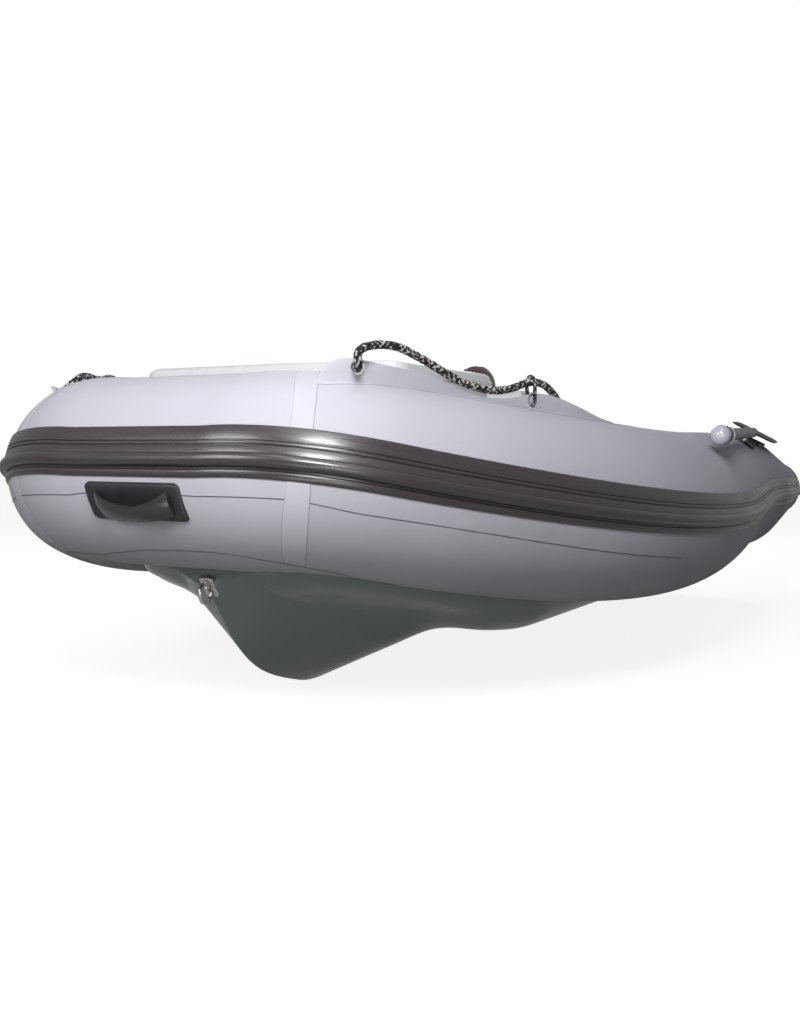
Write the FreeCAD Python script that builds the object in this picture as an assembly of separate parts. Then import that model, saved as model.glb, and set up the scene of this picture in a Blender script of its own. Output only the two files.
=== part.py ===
import FreeCAD, Part

import math
import os

# Rigid-hulled inflatable boat, millimetres.
# Origin: centreline, waterline and middle of the length. +X bow, +Y port, +Z up.

V = FreeCAD.Vector

# Buoyancy tube, as a centreline and radii
BOW_X = 1525.0
BOW_Z = 360.0
BOW_RADIUS = 200.0
SHOULDER_Y = 283.0
SHOULDER_RISE = 10.0
SHOULDER_ROUND = 120.0
FLARE_ANGLE = 40.0
FLARE_REACH = 1058.0
FLARE_DROP = 198.0
STERN_X = -1019.0
STERN_Y = 551.0
STERN_Z = 264.0
STERN_RADIUS = 214.0
SIDE_FULLNESS = 12.7
STERN_REACH = 818.0
STERN_LIFT = 14.0
STERN_TOE = -56.0
CONE_LENGTH = 685.0
CONE_RISE = -4.0
CONE_TOE = 32.5
CONE_END_RADIUS = 115.5
END_CAP_DEPTH = 42.0
CAP_LIP = 3.0
CAP_RIM = 8.0

# Rub strake, a moulded rubber band glued round the outside of the tube
STRAKE_WIDTH = 100.0
STRAKE_LIFT_ANGLE = 1.4
STRAKE_BOW_LIFT_ANGLE = 10.8
STRAKE_BASE = 5.0
STRAKE_BEAD = 17.0
GROOVE_DEPTH = 3.0
STRAKE_EDGE_SEAT = 0.9
STRAKE_SEAT = 1.2

# Hull
HULL_TOP_Z = 40.0
DECK_THICKNESS = 12.0
TRANSOM_X = -1150.0
TRANSOM_THICKNESS = 45.0
TRANSOM_TOP_Z = 268.0
TRANSOM_SHOULDER_Z = 385.0
MOTOR_NOTCH_HALF = 190.0
PLATE_THICKNESS = 8.0
PLATE_HALF_WIDTH = 150.0
PLATE_HEIGHT = 215.0
PLATE_DROP = 10.0
TRANSOM_WING_Y = 520.0
TRANSOM_WING_Z = 95.0

# Bow locker
LOCKER_FRONT_X = 1295.0
LOCKER_BACK_X = 800.0
LOCKER_HALF_WIDTH = 360.0
LOCKER_CORNER = 70.0
LOCKER_FLOOR_Z = 210.0
LOCKER_INSIDE = [(1235.0, 235.0), (808.0, 325.0)]
LID_TOP_Z = 617.0
LID_BOTTOM_Z = 574.0
LID_CAMBER_RADIUS = 2780.0
LID_OVERHANG = 10.0
LID_GAP = 0.3
FIT_GAP = 3.0

# Helm console, wheel and seat
CONSOLE_X = 60.0
CONSOLE_HALF_WIDTH = 170.0
CONSOLE_DEPTH = 230.0
CONSOLE_TOP_Z = 600.0
COMPASS_RADIUS = 68.0
COMPASS_FOOT = 22.0
WHEEL_RADIUS = 130.0
WHEEL_RIM = 12.0
WHEEL_Z = 455.0
WHEEL_TILT = 20.0
SEAT_X = -420.0
SEAT_LENGTH = 340.0
SEAT_HALF_WIDTH = 190.0
SEAT_TOP_Z = 330.0
CUSHION_THICKNESS = 70.0

# Oars, stowed on the outboard side of the tube tops, each on a pin square to the tube.
# Each place is an angle from the tube's top and a height above its skin.
OAR_GRIP_X = 407.3
OAR_GRIP_ANGLE = 39.57
OAR_GRIP_HEIGHT = 46.9
OAR_LOCK_X = -632.8
OAR_LOCK_ANGLE = 31.88
OAR_LOCK_HEIGHT = 38.7
OAR_LENGTH = 1570.0
OAR_SHAFT_RADIUS = 18.0
OAR_GRIP_RADIUS = 27.0
OAR_GRIP_LENGTH = 130.0
OAR_BLADE_LENGTH = 340.0
OAR_BLADE_WIDTH = 170.0
OAR_BLADE_THICKNESS = 12.0
OAR_BLADE_ROLL = 28.0
LOCK_COLLAR_RADIUS = 22.0
LOCK_COLLAR_LENGTH = 36.0
LOCK_BASE_RADIUS = 45.0
LOCK_BASE_PROUD = 7.0
LOCK_PIN_RADIUS = 6.0
LOCK_PIN_PROUD = 2.0
CHOCK_X = -930.0
CHOCK_ANGLE = 26.0
CHOCK_SIZE = (120.0, 90.0, 28.0)
CHOCK_PROUD = 8.0

# Bow fittings
HANDLE_WIDTH = 230.0
HANDLE_HEIGHT = 74.0
HANDLE_ANGLE = 106.0
HANDLE_SHIFT = 20.0
HANDLE_PATCH = 8.0
HANDLE_SEAT = 0.4
GRIP_RADIUS = 13.0
GRIP_SPAN = 170.0
GRIP_PROUD = 34.0
GRIP_FOOT_Y = 72.0
BOW_EYE_WIRE = 4.5
BOW_EYE_RADIUS = 20.0
BOW_EYE_PLACE = (1477.0, 116.0)
BOW_EYE_SLOPE = 34.8
BOW_EYE_PLATE = (34.0, 52.0)

# Lifelines. Distances run along the tube's centreline from the port strip's front eyelet
STRIP_ZERO = 313.7
STRIP_THICKNESS = 4.0
STRIP_SEAT = 0.6
STARBOARD_SHIFT = 100.0
STARBOARD_LEAN = 40.0
EYELET_OUTER = 14.0
EYELET_INNER = 9.5
EYELET_FLANGE = 1.6
EYELET_WALL = 1.0
EYELET_PLACES = [(19.0, 27.0), (450.0, 20.0)]
ROPE_DIAMETER = 18.0
ROPE_END_PROUD = 13.0
ROPE_END_RUN = 75.0
ROPE_END_INSIDE = 14.0
BOSS_RADIUS = 34.0
BOSS_HEIGHT = 27.0
BOSS_ANGLE = -42.0

# Small fittings
VALVE_RADIUS = 30.0
VALVE_DEPTH = 10.0
VALVE_PLACES = (-300.0, 560.0)
VALVE_ANGLE = -72.0
EYE_WIRE = 4.0
EYE_RADIUS = 20.0
DRAIN_RADIUS = 16.0
DRAIN_Y = 70.0
DRAIN_Z = 20.0
TOWING_EYE_Y = 250.0
TOWING_EYE_Z = 100.0


def vec(x, y, z):
    return V(x, y, z)


def mirrored(shape):
    return shape.mirror(V(0, 0, 0), V(0, 1, 0))


def bezier(points, t):
    a, b, c, d = points
    s = 1.0 - t
    return a * s ** 3 + b * (3 * s * s * t) + c * (3 * s * t * t) + d * t ** 3


SHOULDER = vec(BOW_X, SHOULDER_Y, BOW_Z + SHOULDER_RISE)
STERN = vec(STERN_X, STERN_Y, STERN_Z)
CONE_TIP = vec(STERN_X - CONE_LENGTH, STERN_Y + CONE_TOE, STERN_Z + CONE_RISE)
SIDE_CONTROL = [
    SHOULDER,
    SHOULDER + vec(-FLARE_REACH * math.cos(math.radians(FLARE_ANGLE)),
                   FLARE_REACH * math.sin(math.radians(FLARE_ANGLE)), -FLARE_DROP),
    STERN + vec(STERN_REACH, STERN_TOE, STERN_LIFT),
    STERN,
]
CORNER_T = 0.04
TUBE_SPACING = 170.0
BOW_SPACING = 40.0


def corner_points():
    before = vec(BOW_X, SHOULDER_Y - SHOULDER_ROUND, BOW_Z)
    after = bezier(SIDE_CONTROL, CORNER_T)
    return before, SHOULDER, after


def tube_line(u):
    """Point of the port centreline: u 0 to 1 the bow, 1 to 2 the corner, 2 to 3 the side, 3 to 4 the cone."""
    before, middle, after = corner_points()
    if u <= 1.0:
        return vec(BOW_X, before.y * u, BOW_Z)
    if u <= 2.0:
        t = u - 1.0
        return before * (1 - t) ** 2 + middle * (2 * t * (1 - t)) + after * t ** 2
    if u <= 3.0:
        return bezier(SIDE_CONTROL, CORNER_T + (1 - CORNER_T) * (u - 2.0))
    return STERN + (CONE_TIP - STERN) * (u - 3.0)


def tube_radius(u):
    if u <= 2.0:
        return BOW_RADIUS
    if u <= 3.0:
        along = u - 2.0
        return BOW_RADIUS + (STERN_RADIUS - BOW_RADIUS) * along + 4.0 * SIDE_FULLNESS * along * (1.0 - along)
    return STERN_RADIUS + (CONE_END_RADIUS - STERN_RADIUS) * (u - 3.0)


def tube_frame(u):
    """Point, tangent, outward and up directions of the port tube."""
    step = 0.002
    low = max(u - step, 0.0)
    high = min(u + step, 4.0)
    tangent = (tube_line(high) - tube_line(low)).normalize()
    outward = tangent.cross(V(0, 0, 1)).normalize()
    up = outward.cross(tangent).normalize()
    return tube_line(u), tangent, outward, up


def tube_point(u, angle, proud=0.0):
    """Point on the tube at an angle from its top towards the outside, proud of the skin."""
    point, tangent, outward, up = tube_frame(u)
    radius = tube_radius(u) + proud
    turn = math.radians(angle)
    return point + up * (radius * math.cos(turn)) + outward * (radius * math.sin(turn))


def ring(u, extra=0.0):
    point, tangent, outward, up = tube_frame(u)
    axes = FreeCAD.Rotation(outward, up, tangent, "ZXY")
    circle = Part.makeCircle(tube_radius(u) + extra, V(0, 0, 0), V(0, 0, 1))
    circle.Placement = FreeCAD.Placement(point, axes)
    return Part.Wire([circle])


def spans(start, end, count):
    return [start + (end - start) * i / count for i in range(count + 1)]


def measure_line():
    """Length along the centreline, from the bow's middle, at small steps of u."""
    steps = spans(0.0, 4.0, 800)
    total = 0.0
    table = [(0.0, 0.0)]
    for before, after in zip(steps, steps[1:]):
        total += (tube_line(after) - tube_line(before)).Length
        table.append((total, after))
    return table


LINE_TABLE = measure_line()


def u_at(distance):
    for (length0, u0), (length1, u1) in zip(LINE_TABLE, LINE_TABLE[1:]):
        if distance <= length1:
            return u0 + (u1 - u0) * (distance - length0) / (length1 - length0)
    return 4.0


def length_at(u):
    for (length0, u0), (length1, u1) in zip(LINE_TABLE, LINE_TABLE[1:]):
        if u <= u1:
            return length0 + (length1 - length0) * (u - u0) / (u1 - u0)
    return LINE_TABLE[-1][0]


def even_stations(start_u, end_u, spacing):
    """Values of u about evenly spaced along the centreline."""
    first = length_at(start_u)
    last = length_at(end_u)
    count = max(2, round((last - first) / spacing))
    middle = [u_at(length) for length in spans(first, last, count)[1:-1]]
    return [start_u] + middle + [end_u]


def side_tube(extra=0.0):
    return Part.makeLoft([ring(u, extra) for u in even_stations(1.5, 3.0, TUBE_SPACING)], True, False)


def cone_tube(extra=0.0):
    return Part.makeLoft([ring(3.0, extra), ring(3.999, extra)], True, True)


def bow_tube(extra=0.0):
    """Straight middle between two rounded corners."""
    half = SHOULDER_Y - SHOULDER_ROUND
    middle = Part.makeCylinder(BOW_RADIUS + extra, 2 * half, vec(BOW_X, -half, BOW_Z), vec(0, 1, 0))
    corner = Part.makeLoft([ring(u, extra) for u in even_stations(1.0, 1.5, BOW_SPACING)], True, False)
    return middle.fuse(corner).fuse(mirrored(corner))


def end_cap():
    """Moulded black cap on the end of the stern cone: a rim and a domed face."""
    point, tangent, outward, up = tube_frame(3.999)
    radius = CONE_END_RADIUS + CAP_LIP
    dome_depth = END_CAP_DEPTH - CAP_RIM
    ball = (radius ** 2 + dome_depth ** 2) / (2 * dome_depth)
    dome = Part.makeSphere(ball, V(0, 0, END_CAP_DEPTH - ball))
    cap = dome.common(Part.makeCylinder(radius, END_CAP_DEPTH + 1))
    cap.Placement = FreeCAD.Placement(point + tangent * 0.3, FreeCAD.Rotation(V(0, 0, 1), tangent))
    return cap


def strake_profile(u):
    """Section of the rub strake, from its upper edge to its lower edge."""
    radius = tube_radius(u)
    half = STRAKE_WIDTH / 2.0
    shape = [
        (-half, STRAKE_EDGE_SEAT), (-half + 3, STRAKE_BASE), (-18, STRAKE_BASE + 2),
        (-16, STRAKE_BASE + 2 - GROOVE_DEPTH), (-12, STRAKE_BASE + 2 - GROOVE_DEPTH),
        (-10, STRAKE_BASE + 3), (4, STRAKE_BASE + 4), (9, STRAKE_BEAD), (22, STRAKE_BEAD),
        (28, STRAKE_BASE + 3), (30, 1.5), (34, 1.5), (36, STRAKE_BASE), (half - 3, STRAKE_BASE - 1),
        (half, STRAKE_EDGE_SEAT), (half / 2, STRAKE_SEAT), (0, STRAKE_SEAT), (-half / 2, STRAKE_SEAT),
    ]
    outward = tube_frame(u)[2]
    centre = 90.0 - STRAKE_LIFT_ANGLE - STRAKE_BOW_LIFT_ANGLE * outward.x ** 2
    points = []
    for along, proud in shape:
        angle = centre + math.degrees(along / radius)
        points.append(tube_point(u, angle, proud))
    return Part.makePolygon(points + [points[0]])


def strake(stations, straight):
    return Part.makeLoft([strake_profile(u) for u in stations], True, straight)


def hull_section(x, keel, v_end, tunnel, lobe, outer, top_y, top_z):
    """Section of the hull: straight V bottom, tunnel, rounded chine lobe and side, both sides."""
    port = [v_end, tunnel, lobe, outer, (top_y, top_z)]
    wing = Part.BSplineCurve()
    wing.interpolate([vec(x, y, z) for y, z in port])
    other = Part.BSplineCurve()
    other.interpolate([vec(x, -y, z) for y, z in reversed(port)])
    foot = vec(x, 0, keel)
    edges = [
        Part.LineSegment(foot, vec(x, port[0][0], port[0][1])).toShape(),
        wing.toShape(),
        Part.LineSegment(vec(x, top_y, top_z), vec(x, -top_y, top_z)).toShape(),
        other.toShape(),
        Part.LineSegment(vec(x, -port[0][0], port[0][1]), foot).toShape(),
    ]
    return Part.Wire(edges)


# Stations of the hull: x, keel z, then y and z of v end, tunnel, lobe and outer, and the gunwale's y
HULL_STATIONS = [
    (-1105, -120, 235, -34, 298, -10, 384, -26, 428, -10, 444),
    (-600, -117, 245, -27, 312, -6, 418, -26, 470, -8, 494),
    (0, -113, 250, -24, 320, -4, 430, -25, 490, -8, 522),
    (450, -112, 250, -24, 320, -4, 430, -25, 490, -8, 524),
    (800, -135, 242, -28, 312, -16, 424, -32, 482, -8, 514),
    (940, -146, 234, -36, 303, -18, 403, -20, 462, 8, 494),
    (1080, -155, 224, -49, 290, -14, 378, 35, 430, 50, 462),
    (1200, -131, 196, 0, 255, 46, 330, 69, 378, 82, 408),
    (1310, -87, 160, 64, 212, 84, 272, 98, 316, 114, 342),
    (1400, -8, 120, 96, 162, 105, 208, 118, 238, 127, 258),
    (1440, 48, 100, 122, 132, 132, 170, 140, 196, 150, 214),
    (1480, 105, 88, 146, 112, 150, 140, 153, 160, 156, 172),
]
HULL_SPACING = 45.0
TUBE_SEAT = 0.5


def tube_underside(x, half):
    """Height of the tubes' underside over a section of the hull, from its middle to its edge."""
    lowest = 1e9
    for step in range(0, 801):
        point = TUBE_LINE[step]
        across = max(point.y - half, 0.0)
        reach = tube_radius(step / 200.0) ** 2 - (x - point.x) ** 2 - across ** 2
        if reach > 0:
            lowest = min(lowest, point.z - math.sqrt(reach))
    return lowest


TUBE_LINE = [tube_line(step / 200.0) for step in range(0, 801)]


def slope(rows, index, column):
    """Slope of one column of a table at a row, with no overshoot beside it."""
    if index == 0 or index == len(rows) - 1:
        near = rows[1] if index == 0 else rows[-2]
        return (rows[index][column] - near[column]) / (rows[index][0] - near[0])
    before = (rows[index][column] - rows[index - 1][column]) / (rows[index][0] - rows[index - 1][0])
    after = (rows[index + 1][column] - rows[index][column]) / (rows[index + 1][0] - rows[index][0])
    if before * after <= 0:
        return 0.0
    return 2.0 * before * after / (before + after)


def smooth_row(rows, x):
    """A row of a table at any x, as a smooth curve through its rows. The first column rises."""
    index = 0
    while index < len(rows) - 2 and rows[index + 1][0] < x:
        index += 1
    x0 = rows[index][0]
    x1 = rows[index + 1][0]
    t = (x - x0) / (x1 - x0)
    result = [x]
    for column in range(1, len(rows[0])):
        y0 = rows[index][column]
        y1 = rows[index + 1][column]
        m0 = slope(rows, index, column) * (x1 - x0)
        m1 = slope(rows, index + 1, column) * (x1 - x0)
        value = (2 * t ** 3 - 3 * t ** 2 + 1) * y0 + (t ** 3 - 2 * t ** 2 + t) * m0
        value += (3 * t ** 2 - 2 * t ** 3) * y1 + (t ** 3 - t ** 2) * m1
        result.append(value)
    return result


def hull_block():
    first = HULL_STATIONS[0][0]
    last = HULL_STATIONS[-1][0]
    sections = []
    for x in spans(first, last, round((last - first) / HULL_SPACING)):
        row = smooth_row(HULL_STATIONS, x)
        top_z = tube_underside(x, row[10]) - TUBE_SEAT
        sections.append(hull_section(x, row[1], row[2:4], row[4:6], row[6:8], row[8:10], row[10], top_z))
    return Part.makeLoft(sections, True, False)


# Half widths of the cockpit well ahead of the transom, as (x, y)
WELL = [(-800, 345), (-400, 400), (0, 440), (400, 455), (LOCKER_BACK_X, 440)]
WELL_STERN_HALF = 312.0
DECK_GAP = 0.5


def cockpit_well(z0, z1, back, inset=0.0):
    points = [(back, WELL_STERN_HALF - inset)]
    points += [(x, y - inset) for x, y in WELL]
    points += [(x, -y) for x, y in reversed(points)]
    return prism_xy(points, z0, z1)


def box(x0, x1, y0, y1, z0, z1):
    return Part.makeBox(x1 - x0, y1 - y0, z1 - z0, vec(x0, y0, z0))


def prism_xy(points, z0, z1):
    wire = Part.makePolygon([vec(x, y, z0) for x, y in points + [points[0]]])
    return Part.Face(wire).extrude(vec(0, 0, z1 - z0))


def prism_yz(points, x0, x1):
    wire = Part.makePolygon([vec(x0, y, z) for y, z in points + [points[0]]])
    return Part.Face(wire).extrude(vec(x1 - x0, 0, 0))


def rounded_plan(x0, x1, half, z0, z1, radius):
    block = box(x0, x1, -half, half, z0, z1)
    edges = [e for e in block.Edges if abs(e.Vertexes[0].Z - e.Vertexes[-1].Z) > 1.0]
    return block.makeFillet(radius, edges)


def biggest(shape):
    return max(shape.Solids, key=lambda s: s.Volume)


def local_placement(origin, along, normal):
    """Placement with local x along a direction and local z square to it, near a normal."""
    across = normal.cross(along).normalize()
    up = along.cross(across).normalize()
    return FreeCAD.Placement(origin, FreeCAD.Rotation(along, across, up, "ZXY"))


def main():
    parts = {}
    bow = bow_tube()
    side = side_tube()
    cone = cone_tube()
    parts["bow_tube"] = bow
    parts["port_tube"] = side
    parts["starboard_tube"] = mirrored(side)
    parts["port_stern_cone"] = cone
    parts["starboard_stern_cone"] = mirrored(cone)
    cap = end_cap()
    parts["port_cone_cap"] = cap
    parts["starboard_cone_cap"] = mirrored(cap)

    block = hull_block()
    inner_face = TRANSOM_X + TRANSOM_THICKNESS
    parts["hull"] = biggest(block.cut(cockpit_well(HULL_TOP_Z, HULL_TOP_Z + 400, inner_face - 1)))
    parts["deck"] = cockpit_well(HULL_TOP_Z, HULL_TOP_Z + DECK_THICKNESS, inner_face + DECK_GAP, DECK_GAP)
    transom_parts(parts, cone)

    port_strake = strake(even_stations(1.0, 1.5, BOW_SPACING), False)
    port_strake = port_strake.fuse(strake(even_stations(1.5, 3.0, TUBE_SPACING), False))
    port_strake = port_strake.fuse(strake([3.0, 3.5, 3.999], True))
    bow_strake = strake([0.0, 1.0], True)
    parts["port_strake"] = port_strake
    parts["starboard_strake"] = mirrored(port_strake)
    parts["bow_strake"] = bow_strake.fuse(mirrored(bow_strake)).removeSplitter()

    bow_handle(parts)
    parts["bow_eye"] = bow_eye(parts["hull"])
    locker_parts(parts, block)
    helm_parts(parts)
    oar_parts(parts, side)
    lifeline_parts(parts, side)
    small_fittings(parts, side)

    os.makedirs("parts", exist_ok=True)
    for name, shape in parts.items():
        shape.exportStep("parts/" + name + ".step")
        print(name, len(shape.Solids), round(shape.Volume / 1e6, 3), shape.isValid())


def transom_parts(parts, cone):
    """Transom board between the stern cones, with the motor's notch and its two plates."""
    row = HULL_STATIONS[0]
    profile = [(0, row[1]), row[2:4], row[4:6], row[6:8], row[8:10], (row[10], TRANSOM_WING_Z),
               (TRANSOM_WING_Y, TRANSOM_WING_Z + 60), (TRANSOM_WING_Y, TRANSOM_SHOULDER_Z),
               (MOTOR_NOTCH_HALF + 60, TRANSOM_SHOULDER_Z), (MOTOR_NOTCH_HALF, TRANSOM_TOP_Z)]
    outline = profile + [(-y, z) for y, z in reversed(profile[1:])]
    transom = prism_yz(outline, TRANSOM_X, TRANSOM_X + TRANSOM_THICKNESS)
    for solid in (cone, mirrored(cone)):
        transom = transom.cut(solid)
    parts["transom"] = biggest(transom)
    plate = rounded_plan(0, PLATE_THICKNESS, PLATE_HALF_WIDTH, TRANSOM_TOP_Z - PLATE_HEIGHT,
                         TRANSOM_TOP_Z - PLATE_DROP, 2)
    outer = plate.copy()
    outer.translate(vec(TRANSOM_X - PLATE_THICKNESS, 0, 0))
    inner = plate.copy()
    inner.translate(vec(TRANSOM_X + TRANSOM_THICKNESS, 0, 0))
    parts["motor_plate_outer"] = outer
    parts["motor_plate_inner"] = inner


def bow_handle(parts):
    """Carry handle: a rubber patch on the bow tube and a grip bar with two feet."""
    left = HANDLE_SHIFT - HANDLE_WIDTH / 2
    axle = vec(BOW_X, left, BOW_Z)
    sideways = vec(0, 1, 0)
    base = Part.makeCylinder(BOW_RADIUS + HANDLE_PATCH, HANDLE_WIDTH, axle, sideways)
    base = base.cut(Part.makeCylinder(BOW_RADIUS + HANDLE_SEAT, HANDLE_WIDTH, axle, sideways))
    turn = math.radians(HANDLE_ANGLE)
    window = box(BOW_X, BOW_X + 300, left, left + HANDLE_WIDTH, -HANDLE_HEIGHT / 2, HANDLE_HEIGHT / 2)
    window.translate(vec(0, 0, BOW_Z + (BOW_RADIUS + HANDLE_PATCH / 2) * math.cos(turn)))
    base = base.common(window)
    parts["bow_handle_base"] = base
    square = vec(math.sin(turn), 0, math.cos(turn))
    centre = vec(BOW_X, HANDLE_SHIFT, BOW_Z)
    bar_middle = centre + square * (BOW_RADIUS + GRIP_PROUD)
    bar = Part.makeCylinder(GRIP_RADIUS, GRIP_SPAN, bar_middle - sideways * (GRIP_SPAN / 2), sideways)
    for y in (-GRIP_FOOT_Y, GRIP_FOOT_Y):
        foot = centre + square * (BOW_RADIUS + HANDLE_PATCH - 2) + sideways * y
        bar = bar.fuse(Part.makeCylinder(GRIP_RADIUS, GRIP_PROUD - HANDLE_PATCH + 2, foot, square))
    parts["bow_handle_grip"] = bar.cut(base)


def bow_eye(hull):
    """Stainless bow eye: a plate on the stem and a ring standing out of it."""
    width, height = BOW_EYE_PLATE
    slope_angle = math.radians(BOW_EYE_SLOPE)
    outward = vec(math.cos(slope_angle), 0, -math.sin(slope_angle))
    place = vec(BOW_EYE_PLACE[0], 0, BOW_EYE_PLACE[1])
    plate = Part.makeBox(24, width, height, vec(-18, -width / 2, -height / 2))
    plate = plate.makeFillet(6, [e for e in plate.Edges if abs(e.Vertexes[0].X - e.Vertexes[-1].X) > 1.0])
    plate.Placement = FreeCAD.Placement(place, FreeCAD.Rotation(V(0, 1, 0), BOW_EYE_SLOPE))
    eye = Part.makeTorus(BOW_EYE_RADIUS, BOW_EYE_WIRE, place + outward * 18 + vec(0, 0, -4), vec(0, 1, 0))
    return plate.fuse(eye).cut(hull)


def locker_parts(parts, block):
    """Hollow locker between the tubes and its cambered lid."""
    top = LID_BOTTOM_Z - LID_GAP
    outer = rounded_plan(LOCKER_BACK_X, LOCKER_FRONT_X, LOCKER_HALF_WIDTH, HULL_TOP_Z, top, LOCKER_CORNER)
    side = side_tube(FIT_GAP)
    for solid in (bow_tube(FIT_GAP), side, mirrored(side), block):
        outer = outer.cut(solid)
    inside = LOCKER_INSIDE + [(x, -y) for x, y in reversed(LOCKER_INSIDE)]
    parts["bow_locker"] = biggest(biggest(outer).cut(prism_xy(inside, LOCKER_FLOOR_Z, top + 1)))
    lid = rounded_plan(LOCKER_BACK_X - LID_OVERHANG, LOCKER_FRONT_X, LOCKER_HALF_WIDTH, LID_BOTTOM_Z,
                       LID_TOP_Z, LOCKER_CORNER)
    crown = Part.makeCylinder(LID_CAMBER_RADIUS, LOCKER_FRONT_X - LOCKER_BACK_X + 40,
                              vec(LOCKER_BACK_X - 20, 0, LID_TOP_Z - LID_CAMBER_RADIUS), vec(1, 0, 0))
    parts["bow_locker_lid"] = lid.common(crown)


def helm_parts(parts):
    """Console with its compass dome and wheel, and the seat behind it."""
    floor = HULL_TOP_Z + DECK_THICKNESS
    front = CONSOLE_X + CONSOLE_DEPTH / 2
    back = CONSOLE_X - CONSOLE_DEPTH / 2
    side_view = [(front + 60, floor), (front, CONSOLE_TOP_Z), (back + 60, CONSOLE_TOP_Z),
                 (back, CONSOLE_TOP_Z - 70), (back, floor)]
    wire = Part.makePolygon([vec(x, -CONSOLE_HALF_WIDTH, z) for x, z in side_view + [side_view[0]]])
    console = Part.Face(wire).extrude(vec(0, 2 * CONSOLE_HALF_WIDTH, 0))
    console = console.makeFillet(18, [e for e in console.Edges if min(v.Z for v in e.Vertexes) > floor + 1])
    parts["console"] = console
    ball = Part.makeSphere(COMPASS_RADIUS, vec(0, 0, 0), vec(0, 0, 1), 0, 90, 360)
    ball.translate(vec(0, 0, COMPASS_FOOT))
    compass = Part.makeCylinder(COMPASS_RADIUS, COMPASS_FOOT).fuse(ball)
    compass.translate(vec(CONSOLE_X + 40, 0, CONSOLE_TOP_Z))
    parts["compass"] = compass

    tilt = math.radians(WHEEL_TILT)
    axis = vec(-math.cos(tilt), 0, math.sin(tilt))
    hub = vec(back - 75, 0, WHEEL_Z)
    spoke_length = WHEEL_RADIUS - WHEEL_RIM
    wheel = Part.makeTorus(spoke_length, WHEEL_RIM, hub, axis)
    wheel = wheel.fuse(Part.makeCylinder(28, 30, hub - axis * 18, axis))
    for i in range(3):
        spoke = Part.makeCylinder(8, spoke_length, vec(0, 0, 0), vec(0, 0, 1))
        spoke.rotate(vec(0, 0, 0), vec(1, 0, 0), 120.0 * i + 60)
        spoke.rotate(vec(0, 0, 0), vec(0, 1, 0), WHEEL_TILT)
        spoke.translate(hub)
        wheel = wheel.fuse(spoke)
    shaft = Part.makeCylinder(14, 120, hub - axis * 17, -axis)
    parts["steering_wheel"] = wheel
    parts["wheel_mount"] = shaft.cut(wheel).cut(console)

    seat_back = SEAT_X - SEAT_LENGTH / 2
    seat_front = SEAT_X + SEAT_LENGTH / 2
    parts["helm_seat"] = rounded_plan(seat_back, seat_front, SEAT_HALF_WIDTH, floor, SEAT_TOP_Z, 40)
    parts["helm_cushion"] = rounded_plan(seat_back + 8, seat_front - 8, SEAT_HALF_WIDTH - 8,
                                         SEAT_TOP_Z + 0.3, SEAT_TOP_Z + CUSHION_THICKNESS, 35)


def nearest_u(x):
    """Place along the side tube or cone whose centreline is at x."""
    low = 2.0
    high = 4.0
    for _ in range(50):
        middle = (low + high) / 2
        if tube_line(middle).x > x:
            low = middle
        else:
            high = middle
    return (low + high) / 2


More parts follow.
